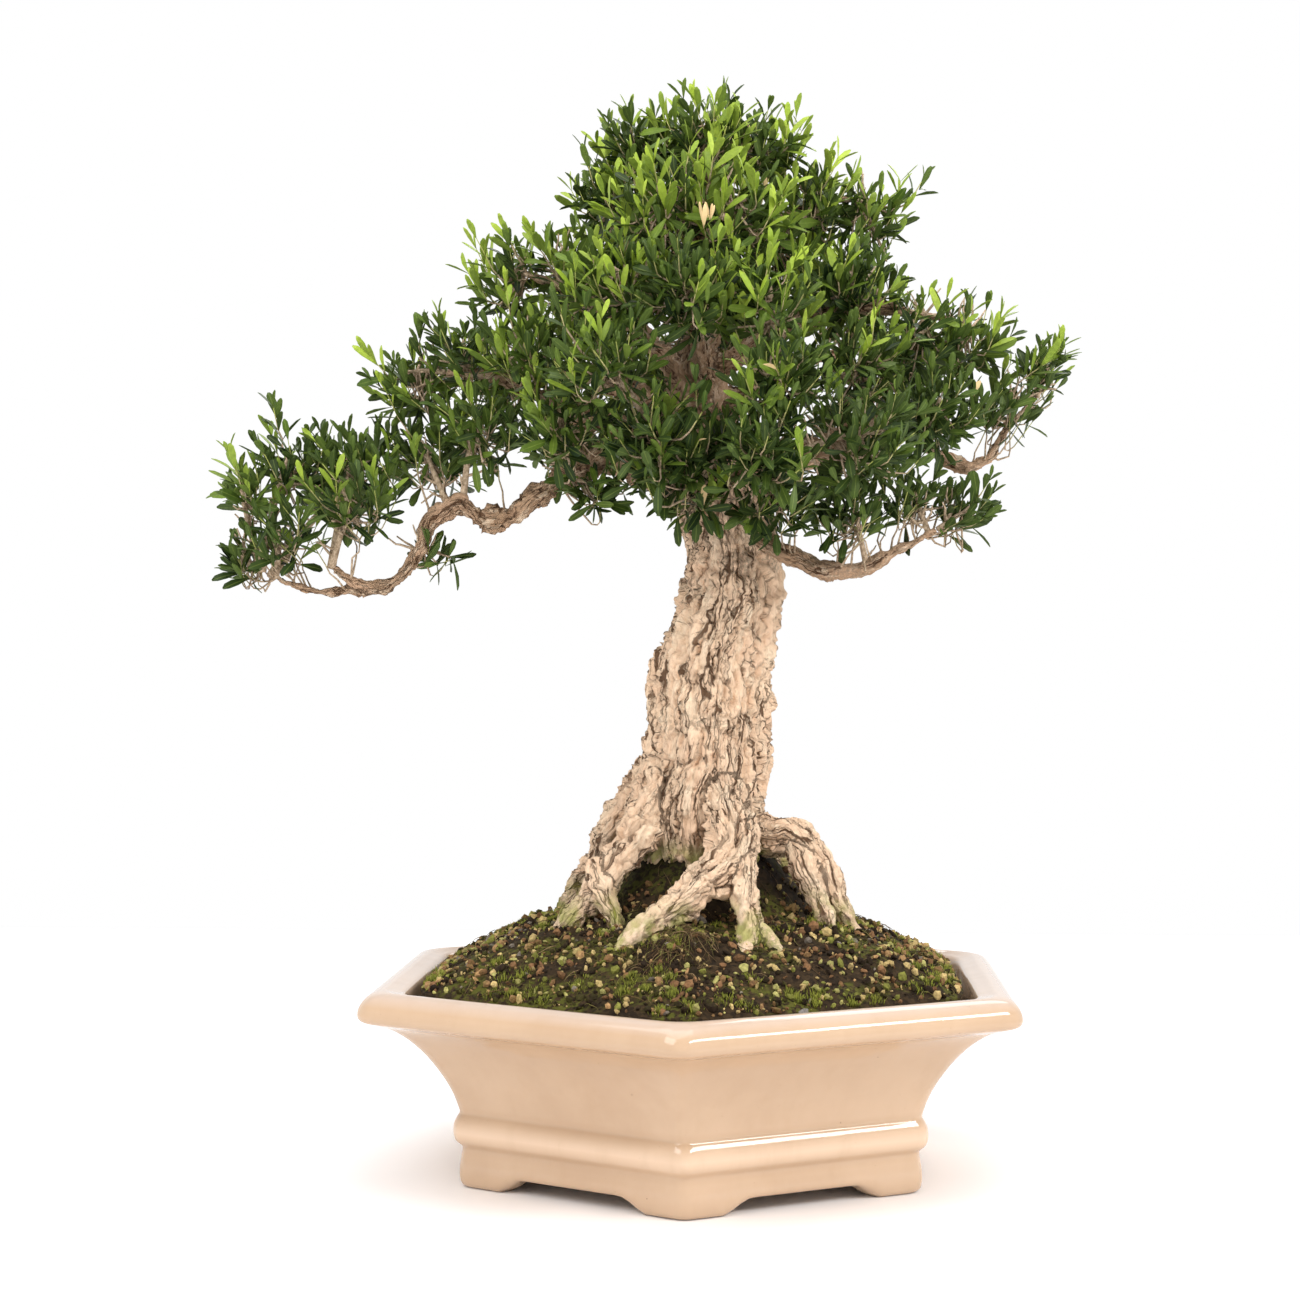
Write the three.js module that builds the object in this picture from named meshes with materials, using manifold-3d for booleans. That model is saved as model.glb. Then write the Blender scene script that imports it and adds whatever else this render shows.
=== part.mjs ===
// A Chinese boxwood bonsai in a glazed hexagonal pot, in millimetres with +Z up.
// The pot stands on six feet at z = 0 and its front corner points to -Y.
// The tree stands a little turned in it.

import * as THREE from 'three';
import Module from 'manifold-3d';
import { mergeVertices } from 'three/addons/utils/BufferGeometryUtils.js';

const wasm = await Module();
wasm.setup();

// Driving dimensions of the pot
const potHeight = 124;
const rimCorner = 230; // from the axis to a rounded rim corner
const rimWidth = 29; // across the flat of the rim
const floorTop = 24; // upper face of the pot's floor
const recessTop = 12; // ceiling of the hollow under the floor
const footHeight = 9;
const footLength = 34; // of each foot, along one side from its corner
const footSpacing = 163; // from corner to corner along one side
const drainHoleRadius = 9;
const drainHoleOffset = 62;

// Driving dimensions of the planting
const soilCrest = 167;
const soilEdge = 120.5;
const soilRoughness = 3;
const fitGap = 0.3; // between pieces that touch
const treeTurn = THREE.MathUtils.degToRad(3.3);
const barkRelief = 0.055; // depth of the trunk's plates and furrows over its radius
const barkUnevenness = 0.2; // change of radius around roots and limbs

// Driving dimensions of the foliage
const leafLength = 24;
const leafWidth = 8.5;
const leafThickness = 1.5; // at its ridge
const leafArch = 1.4; // rise of its edges from foot to widest place
const widestShare = 0.72; // the widest place along the leaf
const neckShare = 0.17; // width of a leaf's foot over the facet it rises from
const coreShare = 0.44; // mean radius of a spray's dense middle over the spray's reach
const coreRoughness = 0.3;
const leavesPerReach = 0.32; // leaves of a spray for each mm of its reach
const upwardPull = 0.2; // how much leaves turn up towards the light

const glaze = new THREE.MeshStandardMaterial({ color: '#ebcdaa', roughness: 0.12, metalness: 0 });
const mesh = new THREE.MeshStandardMaterial({ color: '#20211f', roughness: 0.5, metalness: 0 });
const earth = new THREE.MeshStandardMaterial({ color: '#3f3222', roughness: 0.95, metalness: 0 });
const bark = new THREE.MeshStandardMaterial({ color: '#c9a67d', roughness: 0.85, metalness: 0 });
const leafGreen = new THREE.MeshStandardMaterial({ color: '#3d6b24', roughness: 0.45, metalness: 0 });

// A repeatable number from 0 to 1 for any two values
function chance(a, b = 0) {
  const s = Math.sin(a * 127.1 + b * 311.7) * 43758.5453;
  return s - Math.floor(s);
}

// Joining and cutting

function solidOf(geometry) {
  const bare = geometry.clone();
  bare.deleteAttribute('normal');
  bare.deleteAttribute('uv');
  const merged = mergeVertices(bare, 1e-4);
  return new wasm.Manifold(new wasm.Mesh({
    numProp: 3,
    vertProperties: new Float32Array(merged.attributes.position.array),
    triVerts: new Uint32Array(merged.index.array),
  }));
}

function geometryOf(solid) {
  const found = solid.getMesh();
  const geometry = new THREE.BufferGeometry();
  geometry.setAttribute('position', new THREE.BufferAttribute(new Float32Array(found.vertProperties), 3));
  geometry.setIndex(Array.from(found.triVerts));
  geometry.computeVertexNormals();
  return geometry;
}

function fused(solids) {
  return solids.reduce((whole, next) => whole.add(next));
}

// The largest piece of a solid, with loose scraps dropped
function mainPiece(solid) {
  const pieces = solid.decompose();
  return pieces.reduce((best, next) => (next.volume() > best.volume() ? next : best));
}

// A closed skin through rings of equal length, each listed anticlockwise seen from the end it comes to last
function skin(rings) {
  const count = rings[0].length;
  const points = rings.flat();
  const faces = [];
  for (let row = 0; row < rings.length - 1; row += 1) {
    for (let i = 0; i < count; i += 1) {
      const a = row * count + i;
      const b = row * count + ((i + 1) % count);
      faces.push(a, b, b + count, a, b + count, a + count);
    }
  }
  const last = (rings.length - 1) * count;
  for (let i = 1; i < count - 1; i += 1) {
    faces.push(0, i + 1, i, last, last + i, last + i + 1);
  }
  const geometry = new THREE.BufferGeometry();
  geometry.setFromPoints(points);
  geometry.setIndex(faces);
  return solidOf(geometry);
}

// A tapered limb through points [x, y, z, radius], with flat ends; grow thickens it all over
function limb(path, sides, grow = 0, ridge = 0) {
  const points = path.map(([x, y, z]) => new THREE.Vector3(x, y, z));
  const fullRadius = 1 / Math.cos(Math.PI / sides);
  let side = new THREE.Vector3(0.31, 0.95, 0.12);
  const rings = points.map((point, i) => {
    const before = points[Math.max(i - 1, 0)];
    const after = points[Math.min(i + 1, points.length - 1)];
    const along = after.clone().sub(before).normalize();
    side = side.clone().addScaledVector(along, -side.dot(along)).normalize();
    const across = along.clone().cross(side);
    const endShift = (i === 0 ? -grow : 0) + (i === points.length - 1 ? grow : 0);
    const ring = [];
    for (let k = 0; k < sides; k += 1) {
      const angle = (2 * Math.PI * k) / sides;
      const wave = 1 + ridge * (chance(i, k) - 0.5);
      const radius = path[i][3] * wave + grow * fullRadius;
      ring.push(point.clone()
        .addScaledVector(side, radius * Math.cos(angle))
        .addScaledVector(across, radius * Math.sin(angle))
        .addScaledVector(along, endShift));
    }
    return ring;
  });
  return skin(rings);
}

// Pot

// One level of the pot: a hexagon with rounded corners, whose corners reach cornerReach from the axis
function hexagonRing(cornerReach, z, rounding, stepsPerCorner = 2) {
  const sharpReach = cornerReach + rounding * (1 / Math.cos(Math.PI / 6) - 1);
  const centreReach = sharpReach - rounding / Math.cos(Math.PI / 6);
  const ring = [];
  for (let corner = 0; corner < 6; corner += 1) {
    const middle = -Math.PI / 2 + (corner * Math.PI) / 3;
    for (let step = 0; step <= stepsPerCorner; step += 1) {
      const angle = middle + (step / stepsPerCorner - 0.5) * (Math.PI / 3);
      ring.push(new THREE.Vector3(
        centreReach * Math.cos(middle) + rounding * Math.cos(angle),
        centreReach * Math.sin(middle) + rounding * Math.sin(angle),
        z,
      ));
    }
  }
  return ring;
}

// Corner reach and height up the outside of the pot, from the feet to the crest of the rim
const potProfile = [
  [161, 0], [163.5, 8], [162, 21.5], [165.5, 28], [165.4, 40], [163, 46], [167, 56], [175, 68], [187, 84],
  [201, 97], [213, 103], [224, 105.5], [rimCorner, 111], [rimCorner, 118], [rimCorner - 5.5, potHeight],
];

// The inside wall follows the outside at the wall's thickness
const rimInnerReach = rimCorner - rimWidth / Math.cos(Math.PI / 6);
const cavityProfile = [
  [138, floorTop, 26], [149, floorTop + 8, 30], [156, 56, 32], [174, 84, 34], [188, 102, 36],
  [rimInnerReach, potHeight - 3, 40],
];

function cavity(inset) {
  const rings = cavityProfile.map(([reach, z, rounding]) => hexagonRing(reach - inset * 1.155, z, rounding));
  rings[0].forEach((p) => { p.z += inset; });
  return rings;
}

// The opening between two feet: a flat-topped arch with a curved shoulder at each end
function footArch() {
  const halfGap = footSpacing / 2 - footLength;
  const shoulder = 11;
  const outline = new THREE.Shape();
  outline.moveTo(-halfGap, -5);
  outline.lineTo(halfGap, -5);
  outline.quadraticCurveTo(halfGap - 1, footHeight * 0.6, halfGap - shoulder * 0.6, footHeight * 0.65);
  outline.lineTo(halfGap - shoulder, footHeight);
  outline.lineTo(-halfGap + shoulder, footHeight);
  outline.lineTo(-halfGap + shoulder * 0.6, footHeight * 0.65);
  outline.quadraticCurveTo(-halfGap + 1, footHeight * 0.6, -halfGap, -5);
  const arch = new THREE.ExtrudeGeometry(outline, { depth: 70, bevelEnabled: false, curveSegments: 2 });
  arch.rotateX(Math.PI / 2);
  arch.translate(0, -105, 0);
  return arch;
}

function drainPlaces() {
  return [-drainHoleOffset, drainHoleOffset].map((x) => new THREE.Vector3(x, 0, floorTop));
}

function potSolid() {
  const outside = potProfile.map(([reach, z]) => hexagonRing(reach, z, z < 50 ? 11 : 14));
  outside.push(hexagonRing(rimCorner - 14, potHeight, 18));
  outside.push(hexagonRing(rimInnerReach + 5, potHeight - 1.6, 38));
  let body = skin(outside);
  const mouth = hexagonRing(rimInnerReach + 1, potHeight + 5, 40);
  body = body.subtract(skin([...cavity(0), mouth]));
  const recess = [hexagonRing(147, -5, 8), hexagonRing(145, recessTop, 8)];
  body = body.subtract(skin(recess));
  for (let side = 0; side < 6; side += 1) {
    const arch = footArch();
    arch.rotateZ(Math.PI / 6 + (side * Math.PI) / 3);
    body = body.subtract(solidOf(arch));
  }
  drainPlaces().forEach((place) => {
    const hole = new THREE.CylinderGeometry(drainHoleRadius, drainHoleRadius, 40, 16);
    hole.rotateX(Math.PI / 2);
    hole.translate(place.x, place.y, 15);
    body = body.subtract(solidOf(hole));
  });
  return body;
}

// Drain screens: a thin plate with a grid of square holes over each drain hole

const screenSize = 34;
const screenThickness = 1.2;
const screenOpening = 5;
const screenPitch = 8;
const screenBase = floorTop + fitGap;

function screenSolid(place) {
  const plate = new THREE.BoxGeometry(screenSize, screenSize, screenThickness);
  plate.translate(place.x, place.y, screenBase + screenThickness / 2);
  let screen = solidOf(plate);
  for (let i = -0.5; i <= 0.5; i += 1) {
    for (let j = -0.5; j <= 0.5; j += 1) {
      const hole = new THREE.BoxGeometry(screenOpening, screenOpening, 10);
      hole.translate(place.x + i * screenPitch, place.y + j * screenPitch, screenBase);
      screen = screen.subtract(solidOf(hole));
    }
  }
  return screen;
}

// Trunk and roots, in the tree's own frame before it is turned in the pot

// Height, centre and half widths of the trunk, from below the soil to the hidden leader in the crown
const trunkRows = [
  [128, 4, 14, 28, 24], [160, 4, 14, 31, 26], [178, 4, 10, 38, 32], [196, 3, 5, 45, 39], [216, 2, 2, 48, 42],
  [236, 1, 0, 46, 42], [256, 5, 0, 43, 40], [276, 8, 0, 41, 38], [300, 10, 0, 39.5, 37], [324, 12, 0, 38, 36],
  [346, 18, 0, 35.5, 34], [366, 23, 0, 32.5, 32], [392, 24, 0, 30, 30], [420, 20, 0, 29.5, 29],
  [444, 15, 1, 28, 26], [462, 11, 2, 22, 20],
];

// The trunk goes on as a slim leader, hidden in the crown
const leader = [
  [12, 1, 446, 22], [6, 2, 480, 19], [1, 2, 520, 15], [3, 0, 560, 12], [5, 0, 600, 8], [7, 0, 655, 3.5],
];

// Fissured bark: upright plates and furrows, each plate a few rows long
function barkWave(column, row) {
  const furrow = chance(column, 3) - 0.5;
  const plate = chance(column, 10 + Math.floor((row + column) / 3)) - 0.5;
  return 1 + barkRelief * (1.1 * furrow + 1.3 * plate);
}

function trunkSolid(grow) {
  const sides = 20;
  const fullRadius = grow / Math.cos(Math.PI / sides);
  const rings = trunkRows.map(([z, x, y, rx, ry], row) => {
    const shift = (row === 0 ? -grow : 0) + (row === trunkRows.length - 1 ? grow : 0);
    const ring = [];
    for (let k = 0; k < sides; k += 1) {
      const angle = (2 * Math.PI * k) / sides;
      const wave = barkWave(k, row);
      ring.push(new THREE.Vector3(
        x + (rx * wave + fullRadius * 1.15) * Math.cos(angle),
        y + (ry * wave + fullRadius * 1.15) * Math.sin(angle),
        z + shift,
      ));
    }
    return ring;
  });
  return skin(rings);
}

// Surface roots, each from high on the flare out over the mound and down into it
const roots = [
  [[-18, -10, 268, 13], [-36, -18, 246, 15], [-58, -28, 206, 15], [-70, -36, 187, 12], [-82, -44, 164, 9],
    [-94, -50, 146, 5]],
  [[-64, -32, 198, 9], [-56, -50, 176, 7.5], [-44, -66, 150, 4.5]],
  [[8, -22, 252, 13], [12, -44, 208, 14], [-4, -63, 185, 12], [-36, -84, 162, 8], [-56, -98, 142, 4]],
  [[22, -22, 240, 12], [26, -52, 212, 12], [29, -70, 192, 9], [33, -90, 162, 7], [24, -116, 149, 5],
    [14, -142, 134, 3]],
  [[32, -86, 168, 5.5], [46, -96, 154, 4.5], [54, -110, 136, 3]],
  [[28, -4, 230, 13], [52, -12, 222, 14], [75, -20, 214, 12], [84, -26, 192, 10], [93, -30, 171, 8],
    [106, -34, 146, 5]],
  [[64, -20, 212, 9], [70, -34, 194, 8], [79, -44, 170, 7], [88, -54, 146, 4.5]],
  [[36, 14, 252, 13], [62, 28, 214, 14], [82, 44, 186, 11], [104, 62, 154, 6], [114, 70, 138, 4]],
  [[6, 28, 252, 14], [4, 54, 208, 15], [-2, 78, 180, 11], [-10, 102, 154, 6], [-14, 114, 138, 4]],
  [[-24, 16, 256, 14], [-50, 34, 212, 15], [-66, 50, 182, 12], [-86, 68, 156, 7], [-98, 78, 138, 4]],
];

// Limbs that carry the foliage: points [x, y, z, radius] and the sprays [x, y, z, reach] that grow from each
const limbs = {
  lowerLeft: {
    path: [[0, -8, 440, 13], [-35, -20, 449, 12], [-61, -30, 452, 11], [-90, -35, 436, 9.5],
      [-113, -38, 418, 8.5], [-131, -40, 416, 8], [-152, -40, 425, 7.5], [-167, -40, 411, 7],
      [-175, -40, 397, 6.5], [-184, -40, 382, 6], [-198, -40, 371, 5.5], [-216, -42, 375, 4.5],
      [-230, -42, 384, 3.5]],
    sprays: [[-136, -45, 480, 29], [-175, -22, 466, 28], [-220, -25, 460, 27], [-216, -58, 430, 28],
      [-162, -36, 394, 12], [-236, 40, 438, 29], [-259, -25, 458, 26]],
  },
  lowRunner: {
    path: [[-194, -40, 371, 5], [-225, -38, 370, 4], [-251, -35, 372, 3.2], [-276, -30, 382, 2.5]],
    sprays: [[-263, -42, 408, 26], [-290, -28, 438, 23], [-291, -30, 393, 20]],
  },
  middleLeft: {
    path: [[0, 0, 470, 11], [-48, -15, 477, 9], [-86, -25, 489, 7], [-125, -25, 506, 5], [-160, -20, 510, 3]],
    sprays: [[-104, -52, 528, 29], [-149, -25, 529, 27], [-186, -15, 511, 26], [-84, -92, 479, 28],
      [-67, -42, 438, 19]],
  },
  shoulderLeft: {
    path: [[2, 0, 500, 10], [-35, -20, 535, 7], [-74, -20, 560, 5], [-106, -15, 573, 3]],
    sprays: [[-126, -5, 577, 24], [-87, -15, 584, 27], [-52, -85, 567, 29]],
  },
  topLeft: {
    path: [[4, 0, 575, 7], [-29, 0, 609, 5], [-50, 4, 628, 3]],
    sprays: [[-56, 4, 637, 27], [-35, 10, 673, 28], [-49, 78, 627, 31]],
  },
  leader: {
    path: [[7, 0, 640, 5], [8, 0, 660, 3]],
    sprays: [[8, -22, 675, 28], [46, 4, 669, 28], [6, 62, 678, 30]],
  },
  topRight: {
    path: [[6, 0, 575, 7], [42, 0, 603, 5.5], [81, 0, 622, 4], [104, 0, 624, 2.5]],
    sprays: [[79, -10, 631, 27], [118, 0, 622, 25], [73, 78, 629, 31]],
  },
  rightUpper: {
    path: [[8, 0, 512, 10], [55, -10, 537, 7.5], [93, -15, 550, 6], [131, -20, 550, 4.5], [166, -15, 544, 3]],
    sprays: [[99, -28, 574, 29], [102, -64, 518, 29], [144, -22, 541, 27], [181, -10, 539, 24]],
  },
  rightMiddle: {
    path: [[20, 0, 446, 12], [60, -6, 454, 10], [100, -12, 470, 8], [132, -15, 474, 6.5], [167, -12, 453, 5],
      [187, -10, 454, 4.2], [196, -5, 466, 3.8], [205, 0, 479, 3.2], [222, 0, 496, 2.6]],
    sprays: [[153, -52, 490, 29], [203, -10, 496, 24], [232, 0, 522, 23]],
  },
  rightLower: {
    path: [[34, -6, 418, 10], [46, -20, 402, 9], [62, -34, 390, 7.5], [80, -44, 383, 7], [104, -50, 384, 6],
      [130, -50, 396, 4.5], [152, -47, 408, 3]],
    sprays: [[52, -76, 426, 26], [98, -62, 422, 26], [138, -45, 432, 26], [174, -40, 422, 21]],
  },
  frontUpper: {
    path: [[6, -6, 572, 7], [3, -44, 597, 4.5], [4, -56, 604, 3]],
    sprays: [[-21, -62, 618, 33], [31, -66, 612, 33]],
  },
  frontMiddle: {
    path: [[3, -14, 490, 10], [-4, -56, 518, 6.5], [2, -88, 545, 4]],
    sprays: [[-5, -110, 558, 33], [44, -96, 555, 32], [-60, -122, 512, 32]],
  },
  frontRight: {
    path: [[12, -16, 474, 10], [28, -66, 486, 6], [45, -100, 494, 3.5]],
    sprays: [[49, -126, 504, 32], [105, -104, 466, 33]],
  },
  frontLower: {
    path: [[4, -18, 444, 10], [-14, -66, 452, 6], [-20, -92, 458, 3.5]],
    sprays: [[-32, -110, 466, 33], [50, -130, 462, 32]],
  },
  backUpper: {
    path: [[6, 6, 546, 8], [14, 66, 560, 5], [20, 112, 572, 3.5]],
    sprays: [[20, 136, 579, 38], [-70, 106, 575, 37]],
  },
  backRight: {
    path: [[12, 10, 490, 10], [64, 64, 524, 6], [116, 98, 540, 3.5]],
    sprays: [[108, 92, 582, 35], [146, 104, 534, 36]],
  },
  backLeft: {
    path: [[-2, 10, 486, 10], [-60, 64, 514, 6], [-108, 84, 526, 3.5]],
    sprays: [[-132, 90, 531, 36]],
  },
  backLow: {
    path: [[5, 12, 456, 11], [-6, 76, 490, 7], [-16, 124, 520, 4]],
    sprays: [[-22, 150, 530, 39], [110, 112, 484, 36], [-84, 112, 490, 37]],
  },
};

// The point of a limb nearest to a spray, kept off the limb's first stretch, which is inside the trunk
function forkPoint(branch, spray) {
  const curve = branch.path.map(([x, y, z]) => new THREE.Vector3(x, y, z));
  const target = new THREE.Vector3(spray[0], spray[1], spray[2] - spray[3] * 0.5);
  let best = curve[curve.length - 1];
  for (let i = 1; i < curve.length; i += 1) {
    const segment = new THREE.Line3(curve[i - 1], curve[i]);
    const near = segment.closestPointToPoint(target, true, new THREE.Vector3());
    if (near.distanceTo(target) < best.distanceTo(target)) {
      best = near;
    }
  }
  return best;
}

// The woody twig that runs from a limb into the middle of a spray
function twigPath(branch, spray) {
  const start = forkPoint(branch, spray);
  const end = new THREE.Vector3(spray[0], spray[1], spray[2]);
  const thick = Math.min(3.6, 1.8 + start.distanceTo(end) * 0.022);
  return [[...start.toArray(), thick * 1.2], [...end.toArray(), thick * 0.6]];
}

const everySpray = Object.entries(limbs).flatMap(([name, branch]) => branch.sprays.map((spray, i) => {
  const centre = new THREE.Vector3(spray[0], spray[1], spray[2]);
  return {
    name: `spray_${name.replace(/[A-Z]/g, (c) => `_${c.toLowerCase()}`)}_${i + 1}`,
    centre,
    reach: spray[3],
    twig: twigPath(branch, spray),
    needsTwig: forkPoint(branch, spray).distanceTo(centre) > spray[3] * coreShare * 0.9,
    seed: chance(spray[0], spray[2]) * 100,
  };
}));

function woodSolid(grow) {
  const pieces = [trunkSolid(grow), limb(leader, 6, grow)];
  roots.forEach((root) => {
    const isStout = root[0][3] > 10;
    pieces.push(limb(root, isStout ? 6 : 5, grow, barkUnevenness));
  });
  Object.values(limbs).forEach(({ path }) => {
    const isStout = path[0][3] > 9;
    pieces.push(limb(path, isStout ? 5 : 4, grow, barkUnevenness));
  });
  everySpray.filter((spray) => spray.needsTwig).forEach((spray) => pieces.push(limb(spray.twig, 3, grow)));
  return fused(pieces);
}

// Foliage

// The dense middle of a spray: a rough lump of twenty facets, thickened all over by grow
function coreGeometry(spray, grow = 0) {
  const lump = new THREE.IcosahedronGeometry(1, 0);
  lump.deleteAttribute('normal');
  lump.deleteAttribute('uv');
  const merged = mergeVertices(lump, 1e-4);
  const spots = merged.attributes.position;
  for (let i = 0; i < spots.count; i += 1) {
    const wave = 1 + coreRoughness * (2 * chance(spray.seed, i) - 1);
    const radius = spray.reach * coreShare * wave + grow * 1.5;
    spots.setXYZ(i, spots.getX(i) * radius, spots.getY(i) * radius, spots.getZ(i) * radius);
  }
  merged.rotateZ(spray.seed);
  merged.translate(spray.centre.x, spray.centre.y, spray.centre.z);
  return merged;
}

// A leaf on a facet: a slim foot, then a spoon-shaped blade with a ridge along it.
// The first two corners of the facet become its edges and the third its ridge.
function leafOnFacet(spray, corners, turn, grow = 0) {
  const [a, b, c] = [0, 1, 2].map((i) => corners[(i + turn) % 3]);
  const base = a.clone().add(b).add(c).divideScalar(3);
  const heading = base.clone().sub(spray.centre).normalize();
  heading.z += upwardPull;
  heading.normalize();
  const across = b.clone().sub(a);
  across.addScaledVector(heading, -across.dot(heading)).normalize();
  const ridge = c.clone().sub(base);
  ridge.addScaledVector(heading, -ridge.dot(heading));
  ridge.addScaledVector(across, -ridge.dot(across)).normalize();
  const length = leafLength * (0.88 + 0.24 * chance(spray.seed + turn, base.z)) + grow;
  const half = leafWidth / 2 + grow;
  const spot = (along, side, lift) => base.clone()
    .addScaledVector(heading, along * length)
    .addScaledVector(across, side * half)
    .addScaledVector(ridge, lift);
  const foot = [a, b, c].map((corner) => (
    corner.clone().sub(base).multiplyScalar(neckShare * (1 + grow)).add(base).addScaledVector(heading, 1)
  ));
  return {
    corners: [a, b, c],
    foot,
    middle: [
      spot(widestShare, -1, leafArch - grow),
      spot(widestShare, 1, leafArch - grow),
      spot(widestShare, 0, leafArch + leafThickness + grow),
    ],
    tip: spot(1, 0, 0),
  };
}

function wallFaces(points, lower, upper) {
  [0, 1, 2].forEach((i) => {
    const j = (i + 1) % 3;
    points.push(lower[i], lower[j], upper[j], lower[i], upper[j], upper[i]);
  });
}

function bladeFaces(points, leaf) {
  const [left, right, crest] = leaf.middle;
  wallFaces(points, leaf.foot, leaf.middle);
  points.push(left, right, leaf.tip, right, crest, leaf.tip, crest, left, leaf.tip);
}

function solidOfPoints(points) {
  const geometry = new THREE.BufferGeometry();
  geometry.setFromPoints(points);
  return solidOf(geometry);
}

// A leaf by itself, a little larger all round, to try whether it would cross anything
function leafRoom(spray, corners, turn) {
  const leaf = leafOnFacet(spray, corners, turn, fitGap);
  const points = [leaf.foot[0], leaf.foot[2], leaf.foot[1]];
  bladeFaces(points, leaf);
  return solidOfPoints(points);
}

function facetsOf(spray) {
  const core = coreGeometry(spray);
  const corner = (i) => new THREE.Vector3().fromBufferAttribute(core.attributes.position, core.index.getX(i));
  const facets = [];
  for (let i = 0; i < core.index.count; i += 3) {
    facets.push([corner(i), corner(i + 1), corner(i + 2)]);
  }
  return facets;
}

// The middles of all sprays come first; then the leaves of each, left out where one would cross a neighbour
function buildSpray(spray, room) {
  const neighbours = everySpray.filter((other) => (
    other !== spray && other.centre.distanceTo(spray.centre) < other.reach + spray.reach + leafLength
  ));
  const wanted = Math.round(spray.reach * leavesPerReach);
  const facets = facetsOf(spray).map((corners, i) => {
    const turn = Math.floor(chance(spray.seed, i + 20) * 3);
    const trial = leafRoom(spray, corners, turn);
    const free = neighbours.every((other) => trial.intersect(other.solid).isEmpty());
    return { corners, turn, free, rank: chance(spray.seed, i + 50) };
  });
  const bearing = facets.filter((facet) => facet.free).sort((a, b) => a.rank - b.rank).slice(0, wanted);
  const points = [];
  facets.forEach((facet) => {
    if (bearing.includes(facet)) {
      const leaf = leafOnFacet(spray, facet.corners, facet.turn);
      wallFaces(points, leaf.corners, leaf.foot);
      bladeFaces(points, leaf);
    } else {
      points.push(...facet.corners);
    }
  });
  spray.solid = mainPiece(solidOfPoints(points).subtract(room));
}

// Soil: it fills the pot up to the rim and heaps towards the trunk, with the roots standing in plain holes

function moundHeight(share) {
  return soilEdge + (soilCrest - soilEdge) * (1 - share ** 2.6);
}

function soilSolid(room) {
  const inPot = cavity(fitGap).filter((ring) => ring[0].z < soilEdge - 6);
  const brim = hexagonRing(rimInnerReach - 1.4, soilEdge - 0.5, 40);
  const shares = [0.92, 0.8, 0.68, 0.56, 0.44, 0.3, 0.12];
  const level = (share) => hexagonRing(rimInnerReach * share, 0, 40 * share);
  const heap = shares.map((share, row) => level(share).map((point, i) => (
    point.setZ(moundHeight(share) + (chance(row + 1, i + 1) - 0.5) * soilRoughness)
  )));
  let body = skin([...inPot, brim, ...heap]).subtract(room);
  drainPlaces().forEach((place) => {
    const bed = screenSize + 2 * fitGap;
    const plate = new THREE.BoxGeometry(bed, bed, 2 * (screenThickness + 2 * fitGap));
    plate.translate(place.x, place.y, floorTop);
    body = body.subtract(solidOf(plate));
  });
  return mainPiece(body);
}

// Assembly

function part(name, solid, material) {
  const piece = new THREE.Mesh(geometryOf(solid), material);
  piece.name = name;
  return piece;
}

function turned(solid) {
  const geometry = geometryOf(solid);
  geometry.rotateZ(treeTurn);
  return solidOf(geometry);
}

const wood = woodSolid(0);
const woodRoom = woodSolid(fitGap);

const tree = new THREE.Group();
tree.rotation.z = treeTurn;
tree.add(part('tree_wood', wood, bark));
everySpray.forEach((spray) => {
  spray.solid = solidOf(coreGeometry(spray, fitGap));
});
everySpray.forEach((spray) => {
  buildSpray(spray, woodRoom);
  tree.add(part(spray.name, spray.solid, leafGreen));
});

const bonsai = new THREE.Group();
bonsai.add(part('pot', potSolid(), glaze));
drainPlaces().forEach((place, i) => bonsai.add(part(`drain_screen_${i + 1}`, screenSolid(place), mesh)));
bonsai.add(part('soil', soilSolid(turned(woodRoom)), earth));
bonsai.add(tree);

// The whole stands with the middle of its outline over the origin
const outline = new THREE.Box3().setFromObject(bonsai);
const middle = outline.getCenter(new THREE.Vector3());
bonsai.position.set(-middle.x, -middle.y, 0);
bonsai.updateMatrixWorld(true);

export default bonsai;
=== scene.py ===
import functools
import math

import bpy
import numpy as np
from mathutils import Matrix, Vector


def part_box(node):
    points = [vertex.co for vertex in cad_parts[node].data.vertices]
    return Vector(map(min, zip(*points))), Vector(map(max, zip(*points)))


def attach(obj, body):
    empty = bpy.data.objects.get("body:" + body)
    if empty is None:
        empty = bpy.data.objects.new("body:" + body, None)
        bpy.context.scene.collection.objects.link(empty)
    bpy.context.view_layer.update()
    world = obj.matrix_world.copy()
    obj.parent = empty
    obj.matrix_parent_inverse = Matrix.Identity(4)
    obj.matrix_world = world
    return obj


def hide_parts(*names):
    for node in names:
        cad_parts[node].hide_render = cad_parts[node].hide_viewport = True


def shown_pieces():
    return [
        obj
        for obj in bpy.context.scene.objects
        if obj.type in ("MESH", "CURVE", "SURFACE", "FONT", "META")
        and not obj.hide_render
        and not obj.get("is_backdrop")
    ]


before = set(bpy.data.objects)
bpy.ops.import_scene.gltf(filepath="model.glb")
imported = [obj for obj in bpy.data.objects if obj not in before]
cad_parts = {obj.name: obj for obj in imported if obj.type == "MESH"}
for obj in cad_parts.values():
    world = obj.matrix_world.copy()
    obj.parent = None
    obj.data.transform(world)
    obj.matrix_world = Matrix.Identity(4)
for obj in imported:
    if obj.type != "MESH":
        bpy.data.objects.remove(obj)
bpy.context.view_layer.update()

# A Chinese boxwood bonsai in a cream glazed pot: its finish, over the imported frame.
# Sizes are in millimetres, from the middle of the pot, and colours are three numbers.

mm = 0.001
potLow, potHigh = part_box("pot")
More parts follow.
